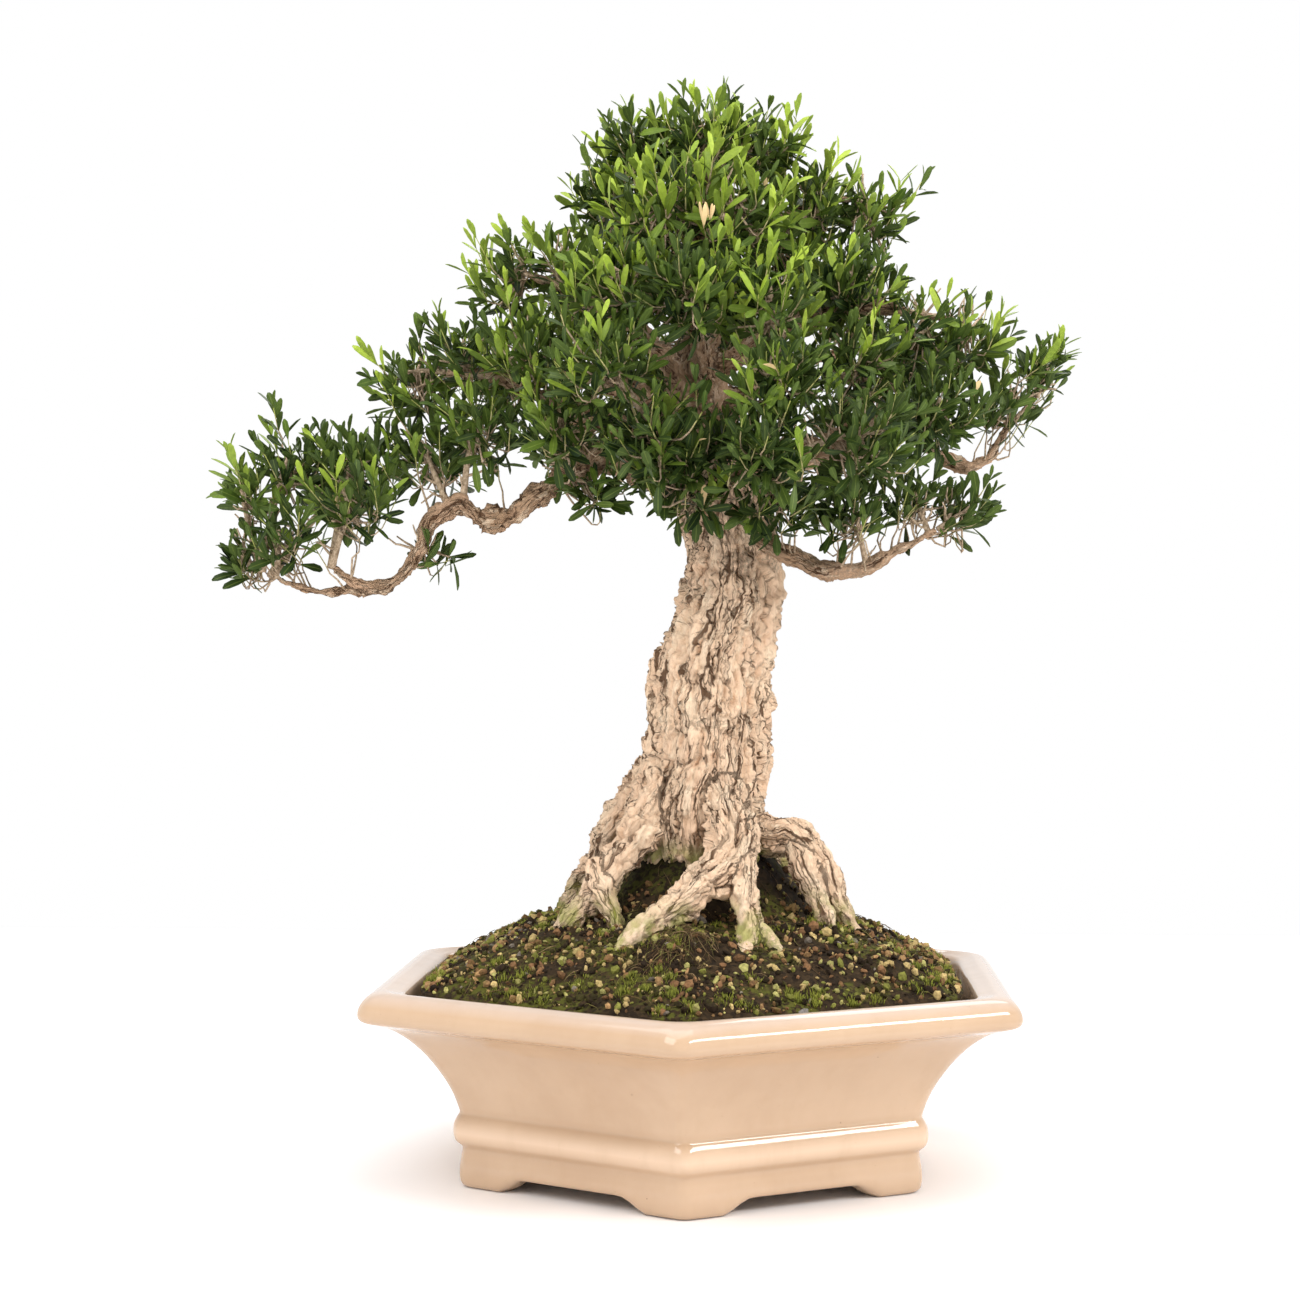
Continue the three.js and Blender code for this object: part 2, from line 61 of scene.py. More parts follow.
potMiddle = np.array([(potLow.x + potHigh.x) / 2, (potLow.y + potHigh.y) / 2, 0.0])
treeTurn = math.radians(3.3)  # how far the tree is turned in its pot
turnCos, turnSin = math.cos(treeTurn), math.sin(treeTurn)
turn = np.array([[turnCos, turnSin, 0.0], [-turnSin, turnCos, 0.0], [0.0, 0.0, 1.0]])
turnBack = turn.T.copy()
up = np.array([0.0, 0.0, 1.0])


# Millimetres at the pot's axis to metres in the frame; the tree's points are turned first, by @ turn
def placed(points):
    return np.asarray(points, float) * mm + potMiddle


def unit(vectors):
    return vectors / np.maximum(np.linalg.norm(vectors, axis=-1, keepdims=True), 1e-9)


# 0 below the low value, 1 above the high one, with a smooth run between
def smoothStep(low, high, value):
    t = np.clip((value - low) / (high - low), 0, 1)
    return t * t * (3 - 2 * t)


# Noise over whole arrays

# A repeatable number from 0 to 1 at each whole-number place
def latticeChance(cell, seed):
    n = cell @ np.array([374761393, 668265263, 2147483647]) + seed * 1442695041
    n = (n ^ (n >> 13)) * 1274126177
    return ((n ^ (n >> 16)) & 0xFFFFF) / 0xFFFFF


# Chance at the eight corners of a unit cube, blended smoothly inside it, from -1 to 1
def softNoise(points, seed=0):
    base = np.floor(points).astype(np.int64)
    part = points - base
    ease = part * part * (3 - 2 * part)
    total = np.zeros(len(points))
    for step in np.ndindex(2, 2, 2):
        x, y, z = np.where(step, ease, 1 - ease).T
        total += x * y * z * latticeChance(base + step, seed)
    return total * 2 - 1


# Soft noise at halving sizes and halving strengths, added up
def roughNoise(points, octaves, seed=0):
    return sum(softNoise(points * 2 ** i, seed + i) * 0.5 ** i for i in range(octaves))


# Distance to the nearest and to the second nearest of scattered points, and the nearest one's chance
def cellNoise(points, seed):
    base = np.floor(points).astype(np.int64)
    nearest, second, tone = np.full(len(points), 9.0), np.full(len(points), 9.0), np.zeros(len(points))
    for step in np.ndindex(3, 3, 3):
        cell = base + np.array(step) - 1
        spot = cell + np.stack([latticeChance(cell, seed + i) for i in range(3)], axis=1)
        away = np.linalg.norm(spot - points, axis=1)
        closer = away < nearest
        second = np.where(closer, nearest, np.minimum(second, away))
        tone = np.where(closer, latticeChance(cell, seed + 3), tone)
        nearest = np.where(closer, away, nearest)
    return nearest, second, tone


# Meshes

# The same faces for each of many things that have so many points each
def repeated(faces, count, pointsEach):
    return (faces[None] + pointsEach * np.arange(count)[:, None, None]).reshape(-1, faces.shape[1])


# The walls and the end faces of closed grids of rows by columns, with the columns joined round
def gridFaces(rows, columns, count=1):
    row, column = np.meshgrid(np.arange(rows - 1), np.arange(columns), indexing="ij")
    a, b = row * columns + column, row * columns + (column + 1) % columns
    walls = np.stack([a, b, b + columns, a + columns], axis=-1).reshape(-1, 4)
    ends = np.stack([np.arange(columns)[::-1], np.arange(columns) + (rows - 1) * columns])
    return [repeated(faces, count, rows * columns) for faces in (walls, ends)]


def newMesh(name, points, faceSets):
    mesh = bpy.data.meshes.new(name)
    corners = np.concatenate([faces.ravel() for faces in faceSets]).astype(np.int32)
    sizes = np.concatenate([np.full(len(faces), faces.shape[1]) for faces in faceSets])
    starts = np.concatenate([[0], np.cumsum(sizes)[:-1]]).astype(np.int32)
    mesh.vertices.add(len(points))
    mesh.vertices.foreach_set("co", np.ascontiguousarray(points, np.float32).ravel())
    mesh.loops.add(len(corners))
    mesh.loops.foreach_set("vertex_index", corners)
    mesh.polygons.add(len(sizes))
    mesh.polygons.foreach_set("loop_start", starts)
    mesh.polygons.foreach_set("use_smooth", np.ones(len(sizes), bool))
    mesh.update(calc_edges=True)
    return mesh


def newObject(name, data):
    item = bpy.data.objects.new(name, data)
    bpy.context.scene.collection.objects.link(item)
    return item


# The mesh of an object with its modifiers applied, with the object and others removed
def settled(item, others=()):
    done = bpy.data.meshes.new_from_object(item.evaluated_get(bpy.context.evaluated_depsgraph_get()))
    for spent in (item, *others):
        mesh = spent.data
        bpy.data.objects.remove(spent)
        bpy.data.meshes.remove(mesh)
    return done


def readVectors(items, key):
    values = np.zeros(len(items) * 3, np.float32)
    items.foreach_get(key, values)
    return values.reshape(-1, 3).astype(float)


# A value for each point of a mesh: a colour, a place or one number
def addLayer(mesh, name, values, kind="FLOAT_COLOR"):
    values = np.asarray(values, np.float32)
    if kind == "FLOAT_COLOR":
        values = np.column_stack([values, np.ones(len(values), np.float32)])
    key = {"FLOAT_COLOR": "color", "FLOAT_VECTOR": "vector", "FLOAT": "value"}[kind]
    mesh.attributes.new(name, kind, "POINT").data.foreach_set(key, np.ascontiguousarray(values).ravel())


def addPiece(name, mesh, material, stands=()):
    piece = newObject(name, mesh)
    mesh.materials.clear()
    mesh.materials.append(material)
    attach(piece, "root")
    if stands:
        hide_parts(*stands)


# A smooth run through the points of a line: a cubic in each span, with slopes from the neighbours
def smoothLine(points, steps):
    points = np.asarray(points, float)
    padded = np.vstack([2 * points[0] - points[1], points, 2 * points[-1] - points[-2]])
    t = np.linspace(0, 1, steps, endpoint=False)[:, None]
    before, start, end, after = (padded[i:len(points) - 1 + i, None, :] for i in range(4))
    run = 0.5 * (2 * start + (end - before) * t + (2 * before - 5 * start + 4 * end - after) * t ** 2
                 + (3 * start - before - 3 * end + after) * t ** 3)
    return np.vstack([run.reshape(-1, points.shape[1]), points[-1:]])


# The way along a line from its first point to each of the others
def lengthsAlong(line):
    return np.concatenate([[0], np.cumsum(np.linalg.norm(np.diff(line, axis=0), axis=1))])


# A frame that is carried along a line: its direction, and a side that turns as little as it can
def carriedFrame(line):
    along = unit(np.gradient(line, axis=0))
    side = np.zeros_like(along)
    current = np.array([0.31, 0.95, 0.12])
    for i, way in enumerate(along):
        current = current - way * (current @ way)
        current /= np.linalg.norm(current)
        side[i] = current
    return along, side, np.cross(along, side)


# Tubes: circles of the given radii across lines, closed by flat ends; paths is things by points by
# three, radii is things by points, and side and across are the lines' frames
def ringed(paths, side, across, radii, sides):
    angle = np.linspace(0, 2 * math.pi, sides, endpoint=False)[:, None]
    ring = side[:, :, None] * np.cos(angle) + across[:, :, None] * np.sin(angle)
    points = paths[:, :, None] + ring * radii[:, :, None, None]
    return points.reshape(-1, 3), *gridFaces(paths.shape[1], sides, len(paths))


def tube(line, radii, sides):
    _, side, across = carriedFrame(line)
    return ringed(line[None], side[None], across[None], np.array([radii]), sides)


# Many thin tubes at once, with a plainer frame
def thinTubes(paths, radii, sides):
    along = unit(np.gradient(paths, axis=1))
    helper = np.where(np.abs(along[:, :1, 2:3]) > 0.9, np.array([1.0, 0.0, 0.0]), up)
    side = unit(np.cross(along, np.broadcast_to(helper, along.shape)))
    return ringed(paths, side, np.cross(along, side), radii, sides)


# Tubes in the tree's frame as one mesh
def joined(name, tubes):
    points, *faceSets = zip(*tubes)
    starts = np.cumsum([0] + [len(block) for block in points])
    faces = [block + start for blocks in faceSets for block, start in zip(blocks, starts)]
    return newMesh(name, placed(np.vstack(points) @ turn), faces)


# Materials

# Short words for the nodes of one tree
class Nodes:
    def __init__(self, tree):
        self.tree = tree

    def put(self, socket, value):
        if isinstance(value, bpy.types.NodeSocket):
            self.tree.links.new(value, socket)
        else:
            socket.default_value = (*value, 1.0) if socket.type == "RGBA" else value

    def add(self, kind, inputs, **settings):
        node = self.tree.nodes.new("ShaderNode" + kind)
        for key, value in settings.items():
            setattr(node, key, value)
        for key, value in inputs.items():
            self.put(node.inputs[key], value)
        return node.outputs

    def mix(self, share, first, second):
        return self.add("Mix", {0: share, 6: first, 7: second}, data_type="RGBA")[2]

    def maths(self, operation, *values, clamp=False):
        return self.add("Math", dict(enumerate(values)), operation=operation, use_clamp=clamp)[0]

    def times(self, *values):
        return functools.reduce(lambda a, b: self.maths("MULTIPLY", a, b), values)

    def plus(self, *values):
        return functools.reduce(lambda a, b: self.maths("ADD", a, b), values)

    def vectors(self, operation, first, second):
        return self.add("VectorMath", {0: first, 1: second}, operation=operation)

    def ranged(self, value, low, high, start=0.0, end=1.0, **settings):
        return self.add("MapRange", {"Value": value, "From Min": low, "From Max": high, "To Min": start,
                                     "To Max": end}, **settings)["Result"]

    def noise(self, vector, scale, detail, roughness=0.5, output="Fac"):
        return self.add("TexNoise", {"Vector": vector, "Scale": scale, "Detail": detail,
                                     "Roughness": roughness})[output]

    def cells(self, vector, scale, **settings):
        return self.add("TexVoronoi", {"Vector": vector, "Scale": scale}, **settings)

    def stretched(self, vector, upwards):
        return self.add("Mapping", {"Vector": vector, "Scale": (1.0, 1.0, upwards)})["Vector"]

    def parts(self, colour):
        return self.add("SeparateColor", {"Color": colour})

    def attribute(self, name, output="Color"):
        return self.add("Attribute", {}, attribute_name=name)[output]

    def use(self, group, vector, *values):
        return self.add("Group", dict(enumerate((vector, *values))), node_tree=group)


# A material, as a colour that coats of other colours are laid on
class Finish(Nodes):
    def __init__(self, name):
        self.material = bpy.data.materials.new(name)
        self.material.use_nodes = True
        super().__init__(self.material.node_tree)
        self.tree.nodes.clear()
        self.shader = self.tree.nodes.new("ShaderNodeBsdfPrincipled")
        output = self.tree.nodes.new("ShaderNodeOutputMaterial")
        self.tree.links.new(self.shader.outputs["BSDF"], output.inputs["Surface"])
        self.place = self.add("TexCoord", {})["Object"]

    def coat(self, mask, tint, strength=1.0):
        self.colour = self.mix(self.times(mask, strength), self.colour, tint)

    # A coat of patches between two levels of a noise
    def blotch(self, vector, scale, low, high, tint, strength):
        self.coat(self.use(patches, vector, scale, low, high)["Mask"], tint, strength)

    # The bump is a height, a strength and a depth in metres
    def done(self, sockets, bump=None):
        if bump:
            keys = ("Height", "Strength", "Distance")
            self.put(self.shader.inputs["Normal"], self.add("Bump", dict(zip(keys, bump)))["Normal"])
        for key, value in {"Base Color": self.colour, **sockets}.items():
            self.put(self.shader.inputs[key], value)
        return self.material


def newGroup(name, inputs, outputs):
    group = bpy.data.node_groups.new(name, "ShaderNodeTree")
    group.interface.new_socket("Vector", in_out="INPUT", socket_type="NodeSocketVector")
    for key in inputs:
        group.interface.new_socket(key, in_out="INPUT", socket_type="NodeSocketFloat")
    for key in outputs:
        group.interface.new_socket(key, in_out="OUTPUT", socket_type="NodeSocketFloat")
    return Nodes(group), group.nodes.new("NodeGroupInput").outputs, group.nodes.new("NodeGroupOutput").inputs


# Patches: fractal noise, cut to a mask between two levels
def makePatches():
    net, start, end = newGroup("Patches", ["Scale", "Low", "High"], ["Mask", "Noise"])
    noise = net.noise(start["Vector"], start["Scale"], 5.0, 0.6)
    net.put(end["Mask"], net.ranged(noise, start["Low"], start["High"], interpolation_type="SMOOTHSTEP"))
    net.put(end["Noise"], noise)
    return net.tree


# Specks: small round spots, present only where a cell's own chance is high
def makeSpecks():
    net, start, end = newGroup("Specks", ["Scale", "Size", "Rarity"], ["Mask"])
    cells = net.cells(start["Vector"], start["Scale"])
    spot = net.maths("LESS_THAN", cells["Distance"], start["Size"])
    rare = net.maths("GREATER_THAN", net.parts(cells["Color"])["Red"], start["Rarity"])
    net.put(end["Mask"], net.times(spot, rare))
    return net.tree


# Fissures: lines between stretched, wavy cells, of a width that a noise varies, broken off where a
# slow noise is low; Soft is a wide run beside the lines, and Tone is one number for each cell
def makeFissures():
    net, start, end = newGroup("Fissures", ["Scale", "Width", "Gaps"], ["Mask", "Soft", "Tone"])
    waves = net.noise(start["Vector"], 75.0, 5.0, output="Color")
    sway = net.vectors("MULTIPLY", waves, (0.008, 0.008, 0.014))
    long = net.stretched(net.vectors("ADD", start["Vector"], sway[0])[0], 0.17)
    edge = net.cells(long, start["Scale"], feature="DISTANCE_TO_EDGE")["Distance"]
    uneven = net.plus(edge, net.times(net.maths("SUBTRACT", net.noise(long, 260.0, 3.0), 0.47), 0.42))
    line = net.ranged(uneven, 0.0, start["Width"], 1.0, 0.0, interpolation_type="SMOOTHSTEP")
    fade = net.maths("SUBTRACT", net.noise(long, 60.0, 2.0), start["Gaps"])
    shown = net.maths("MULTIPLY", fade, 9.0, clamp=True)
    net.put(end["Mask"], net.times(line, shown))
    net.put(end["Soft"], net.times(net.ranged(edge, 0.0, 0.24, 1.0, 0.0), shown))
    net.put(end["Tone"], net.parts(net.cells(long, start["Scale"])["Color"])["Green"])
    return net.tree


patches, specks, fissures = makePatches(), makeSpecks(), makeFissures()


# Camera, floor and light

view = {"distance": 1.5446, "aside": 0.02887, "height": 0.3323, "lens": 65.9, "sensor": 36.0}

studio = {
    "floorReach": 1.25,
    "floor": [(0.96, 0.95, 0.955), (0.94, 0.935, 0.94)],
    "sky": (1.0, 0.55),  # strength of the light from the sides and from above
    "lamps": {  # place, what it points at, size in metres and power
        "KeyLight": ((-1.2, -1.5, 1.9), (0, 0, 0.35), (1.5, 1.5), 33),
        "TopLight": ((-0.15, -0.1, 2.3), (0, 0, 0.3), (2.0, 2.0), 26),
        "StripLight": ((1.75, -1.0, 1.5), (0.1, -0.15, 0.1), (1.5, 0.40), 32),
        "BackLight": ((0.6, 1.7, 1.8), (0, 0, 0.45), (1.4, 1.0), 12)},
}


# The camera looks level along the tree's own +Y
def addCamera():
    camera = newObject("Camera", bpy.data.cameras.new("Camera"))
    camera.location = potMiddle + np.array([-view["aside"], -view["distance"], view["height"]]) @ turn
    camera.rotation_euler = (math.pi / 2, 0.0, treeTurn)
    camera.data.lens = view["lens"]
    camera.data.sensor_width = view["sensor"]
    camera.data.clip_end = 50.0
    bpy.context.scene.camera = camera
    bpy.context.scene.view_settings.view_transform = "Standard"  # colours as a product photograph has them


def addStudio():
    reach = studio["floorReach"]
    corners = np.array([[-reach, -reach, 0], [reach, -reach, 0], [reach, reach, 0], [-reach, reach, 0]])
    paint = Finish("Floor")
    paint.colour = paint.mix(paint.use(patches, paint.place, 3.0, 0.3, 0.7)["Mask"], *studio["floor"])
    floor = newObject("Floor", newMesh("Floor", corners, [np.array([[0, 1, 2, 3]])]))
    floor.data.materials.append(paint.done({"Roughness": 0.6}))
    floor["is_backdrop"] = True
    world = bpy.data.worlds.new("Studio")
    bpy.context.scene.world = world
    world.use_nodes = True
    sky = Nodes(world.node_tree)
    background = world.node_tree.nodes["Background"].inputs
    height = sky.add("SeparateXYZ", {"Vector": sky.add("TexCoord", {})["Generated"]})["Z"]
    sky.put(background["Color"], (1.0, 1.0, 1.0))
    sky.put(background["Strength"], sky.ranged(height, 0.30, 0.50, *studio["sky"]))
    for name, (place, target, size, power) in studio["lamps"].items():
        lamp = bpy.data.lights.new(name, "AREA")
        lamp.shape = "RECTANGLE"
        lamp.size, lamp.size_y = size
        lamp.energy = power
        holder = newObject(name, lamp)
        holder.location = place
        holder.rotation_euler = (Vector(target) - Vector(place)).to_track_quat("-Z", "Y").to_euler()


addCamera()
addStudio()
print("camera and studio made")


# Pot

pooledGlazeAndShade = (0.45, 0.285, 0.165)  # glaze that has run together in the grooves, and painted shade under the rim

pot = {
    "profile": [  # corner reach and height, from the underside of a foot up the outside and over the rim
        (150, 0), (157, 0), (161.3, 1.6), (163, 6), (163, 13), (161.8, 20), (161.2, 24.2), (162.6, 26.2),
        (166, 29.2), (167.4, 34), (167, 39.5), (164.8, 43.6), (163.2, 46.2), (164.2, 50), (168, 59),
        (174.5, 69.5), (185.5, 83), (198, 94), (210, 101), (220, 104.2), (226.4, 106), (229.3, 108),
        (230, 110.8), (229.2, 114.2), (227.2, 117.4), (224, 120.4), (219.6, 122.8), (212, 124),
        (204, 122.6), (199, 121.6), (196.6, 119.6), (195.6, 116), (194, 110), (188, 100)],
    "rounding": [(0, 11), (50, 11), (100, 14), (112, 15), (124, 20)],  # corner radius against height
    "mouthRounding": 38.0,
    "undersideRounding": 8.0,
    "mouth": (222, 199),  # reaches between which the rim's rounding becomes the mouth's
    "inside": [(174.0, 84.0), (156.0, 56.0), (149.0, 32.0), (138.0, 24.0), (60.0, 24.0), (0.8, 24.0)],
    "recess": [(0.8, 12.0), (60.0, 12.0), (142.0, 12.0), (145.0, 10.5), (147.0, 0.0)],
    "footHeight": 9.0,
    "footEnd": (25.0, 43.0),  # where along a side, from the corner, the opening starts and is full height
    "sideLength": 161.0,
    "footFade": 22.0,  # height at which the opening's rise has died out
    "sideSteps": 30,
    "cornerSteps": 9,
    "drainOffset": 62.0,
    "drainRadius": 9.0,
    "glaze": [(0.525, 0.358, 0.232), (0.600, 0.424, 0.284)],
    "bands": [  # height and reach in metres, strength and colour
        # pooled glaze in the grooves at 46 and 23.5 mm; painted shade under the rim's overhang at 99 mm;
        # paler glaze and a painted highlight on the moulding's crest at 34.5 mm
        (0.0460, 0.005, 0.30, pooledGlazeAndShade), (0.0235, 0.004, 0.22, pooledGlazeAndShade), (0.099, 0.032, 0.36, pooledGlazeAndShade),
        (0.0345, 0.010, 0.8, (0.76, 0.56, 0.40))],
}


# A ring is a hexagon whose corners are arcs about centres on the corners' rays, and whose sides are
# straight runs between the arcs, with more points where the feet end; a point is a complex number
def potRings(reach, rounding):
    third = math.pi / 3
    fan = np.linspace(-third / 2, third / 2, pot["cornerSteps"])
    blend = np.linspace(-0.5, 0.5, pot["sideSteps"] + 2)[1:-1]
    blend = 0.5 + blend * (0.72 + 1.12 * blend ** 2)
    centre = reach - rounding
    runs = []
    for corner in range(6):
        here, there = (np.exp(1j * (third * (corner + step) - math.pi / 2)) for step in (0, 1))
        runs.append(centre * here + rounding * here * np.exp(1j * fan))
        runs.append(centre * (here + (there - here) * blend) + rounding * here * np.exp(1j * third / 2))
    return np.concatenate(runs, axis=1), np.tile(np.concatenate([np.zeros(len(fan)), blend]), 6)


# The height of the opening under a side, by the distance from the nearest corner: an ogee from 0 up
def footOpening(along):
    low, high = pot["footEnd"]
    t = np.clip((np.minimum(along, 1 - along) * pot["sideLength"] - low) / (high - low), 0, 1)
    return pot["footHeight"] * (0.45 * np.sqrt(1 - (1 - t) ** 2) + 0.55 * t * t * (3 - 2 * t))


def potMaterial():
    glaze = Finish("Cream glaze")
    place = glaze.place
    glaze.colour = glaze.mix(glaze.use(patches, place, 9.0, 0.3, 0.7)["Mask"], *pot["glaze"])
    height = glaze.add("SeparateXYZ", {"Vector": place})["Z"]
    # Bands by height: pooled glaze, painted shade under the rim, and a painted highlight on the moulding
    for level, reach, strength, tint in pot["bands"]:
        away = glaze.maths("ABSOLUTE", glaze.maths("SUBTRACT", height, level))
        glaze.coat(glaze.ranged(away, 0.0, reach, strength, 0.0), tint)
    glaze.coat(glaze.ranged(height, 0.1165, 0.1225), (0.60, 0.475, 0.40), 0.7)
    glaze.blotch(glaze.stretched(place, 0.25), 60.0, 0.45, 0.75, (0.46, 0.30, 0.17), 0.16)
    glaze.coat(glaze.use(specks, place, 105.0, 0.045, 0.70)["Mask"], (0.16, 0.10, 0.06), 0.7)
    glaze.coat(glaze.use(specks, place, 330.0, 0.08, 0.88)["Mask"], (0.24, 0.15, 0.09), 0.35)
    peel = glaze.noise(place, 70.0, 2.0, 0.4)
    uneven = glaze.plus(glaze.times(peel, 0.25), glaze.noise(place, 18.0, 1.0))
    rough = glaze.ranged(peel, 0.3, 0.7, 0.045, 0.09)
    return glaze.done({"Roughness": rough, "IOR": 1.52}, (uneven, 0.3, 0.0012))


# A copy of a mesh with round holes cut through it by upright bars
def drilled(mesh, holes, radius, low, high):
    blank = newObject("pot", mesh)
    drills = []
    for x, y in holes:
        line = np.array([(x, y, z) for z in np.linspace(low, high, 3)])
        points, *faces = tube(line, [radius] * 3, 36)
        drills.append(newObject("drill", newMesh("drill", placed(points), faces)))
        hole = blank.modifiers.new("Hole", "BOOLEAN")
        hole.object = drills[-1]
        hole.operation = "DIFFERENCE"
        hole.solver = "EXACT"
    return settled(blank, drills)


# The pot: its whole section from the recess round the outside to the floor, carried round as rings,
# with the ring's lower points lifted where the openings between the feet are
def buildPot():
    outside = smoothLine(pot["profile"], 3)
    outside[:, 1] = np.maximum(outside[:, 1], 0)
    under = np.array(pot["recess"])
    profile = np.vstack([under, outside, np.array(pot["inside"])])
    reach, height = profile[:, 0:1], profile[:, 1:2]
    row = np.arange(len(profile))[:, None]
    underside = row < len(under)
    inner = row > len(under) + int(np.argmax(outside[:, 1]))
    rounding = np.interp(height, *zip(*pot["rounding"]))
    rounding = rounding + (pot["mouthRounding"] - rounding) * smoothStep(*pot["mouth"], reach) * inner
    rounding = np.minimum(np.where(underside, pot["undersideRounding"], rounding), reach * 0.8)
    ring, along = potRings(reach, rounding)
    lift = np.where(inner, 0.0, np.clip(1 - height / pot["footFade"], 0, 1) ** 1.5)
    z = height + footOpening(along) * np.where(underside, height < 1, lift)
    points = np.stack([ring.real, ring.imag, z], axis=-1).reshape(-1, 3)
    mesh = newMesh("pot", placed(points), gridFaces(*z.shape))
    holes = [(-pot["drainOffset"], 0.0), (pot["drainOffset"], 0.0)]
    return drilled(mesh, holes, pot["drainRadius"], 5.0, 25.5)


addPiece("potGlazed", buildPot(), potMaterial(), ["pot"])
print("pot made")


# The form of the soil, which the wood's finish needs too

soil = {
    "crest": 167.0,
    "edge": 120.5,
    "innerReach": 230 - 29 / math.cos(math.pi / 6),  # the pot's corner reach less its rim
    "fall": 2.6,
    "roughness": 1.3,
    "rings": 98,
    "columns": 220,
    "domePlace": (-6.0, -118.0),
    "domeReach": 26.0,
    "domeHeight": 8.0,
    "heapPlace": (6.0, 16.0),  # the heap behind the arches of the roots; its dark humus also stands in for their shade
    "heapHeight": 36.0,
    "heapReach": (36.0, 80.0),
    "wall": [(26, 0.7025), (32, 0.74), (56, 0.785), (84, 0.876), (102, 0.945), (113, 0.9764285714)],
}


def awayFrom(key, x, y):
    return np.hypot(x - soil[key][0], y - soil[key][1])


# The share of the way from the axis to the rim: the largest of the distances towards the six
# sides, softened by a high power, over the rim's own distance
def rimShare(x, y):
    power = 14
    angles = np.arange(6) * math.pi / 3
    total = sum(np.maximum(x * math.cos(angle) + y * math.sin(angle), 0) ** power for angle in angles)
    return total ** (1 / power) / (soil["innerReach"] * math.cos(math.pi / 6))


# The mound: full height in the middle, falling to the rim as a power of the share, heaped up behind
# the arches of the roots, with a small dome in front and lumps of two sizes
def moundHeight(x, y):
    share = np.clip(rimShare(x, y), 0, 1)
    height = soil["edge"] + (soil["crest"] - soil["edge"]) * (1 - share ** soil["fall"])
    away = awayFrom("domePlace", x, y) / soil["domeReach"]
    height = height + soil["domeHeight"] * np.clip(1 - away ** 2, 0, 1) ** 1.3
    height = height + soil["heapHeight"] * (1 - smoothStep(*soil["heapReach"], awayFrom("heapPlace", x, y)))
    flat = np.stack([x, y, np.zeros_like(x)], axis=1)
    lumps = roughNoise(flat / 17.0, 3, 81) + 0.5 * softNoise(flat / 3.5, 85)
    return height + soil["roughness"] * lumps * (1 - 0.75 * smoothStep(0.9, 1.0, share))


# Wood

wood = {
    "trunk": [  # height, centre and half widths, from below the soil to the hidden leader
        (128, 4, 14, 28, 24), (160, 4, 14, 31, 26), (178, 4, 10, 38, 32), (196, 5, 5, 42, 38),
        (216, 4, 2, 44, 40), (236, 3, 0, 42, 40), (256, 8, 0, 39.5, 38), (276, 9, 0, 39.5, 37),
        (300, 10, 0, 39.5, 37), (324, 12, 0, 38, 36), (346, 18, 0, 35.5, 34), (366, 23, 0, 32.5, 32),
        (392, 24, 0, 30, 30), (420, 20, 0, 29.5, 29), (444, 15, 1, 28, 26), (462, 11, 2, 22, 20)],
    "leader": [  # points with a radius, here and on the roots
        (12, 1, 446, 22), (6, 2, 480, 19), (1, 2, 520, 15), (3, 0, 560, 12), (5, 0, 600, 8),
        (7, 0, 655, 3.5)],
    "roots": [
        [(-14, -10, 262, 12), (-22, -18, 240, 13), (-41, -28, 208, 13), (-58, -36, 186, 12),
         (-75, -44, 164, 9), (-91, -50, 146, 5)],
        [(-64, -32, 198, 9), (-56, -50, 176, 7.5), (-44, -66, 150, 4.5)],
        [(12, -20, 256, 13), (21, -42, 220, 16), (19, -60, 201, 14), (-2, -76, 183, 11.5),
         (-32, -92, 163, 8.5), (-52, -104, 144, 4)],
        [(16, -18, 248, 12), (25, -44, 214, 15), (28, -66, 193, 11), (32, -86, 166, 8),
         (30, -100, 152, 7), (24, -118, 142, 5), (14, -140, 133, 3)],
        [(32, -86, 168, 5.5), (46, -96, 154, 4.5), (54, -110, 136, 3)],
        [(28, -4, 222, 13), (48, -12, 212, 12), (66, -20, 211, 11), (77, -25, 202, 10),
         (85, -28, 186, 8.5), (92, -31, 168, 7), (104, -34, 146, 5)],
        [(64, -20, 212, 9), (70, -34, 194, 8), (79, -44, 170, 7), (88, -54, 146, 4.5)],
        [(26, 16, 222, 13), (46, 26, 194, 14), (66, 40, 176, 12), (96, 58, 152, 6), (110, 68, 138, 4)],
        [(6, 28, 252, 14), (4, 54, 208, 15), (-2, 78, 180, 11), (-10, 102, 154, 6), (-14, 114, 138, 4)],
        [(-24, 16, 256, 14), (-50, 34, 212, 15), (-66, 50, 182, 12), (-86, 68, 156, 7),
         (-98, 78, 138, 4)]],
}

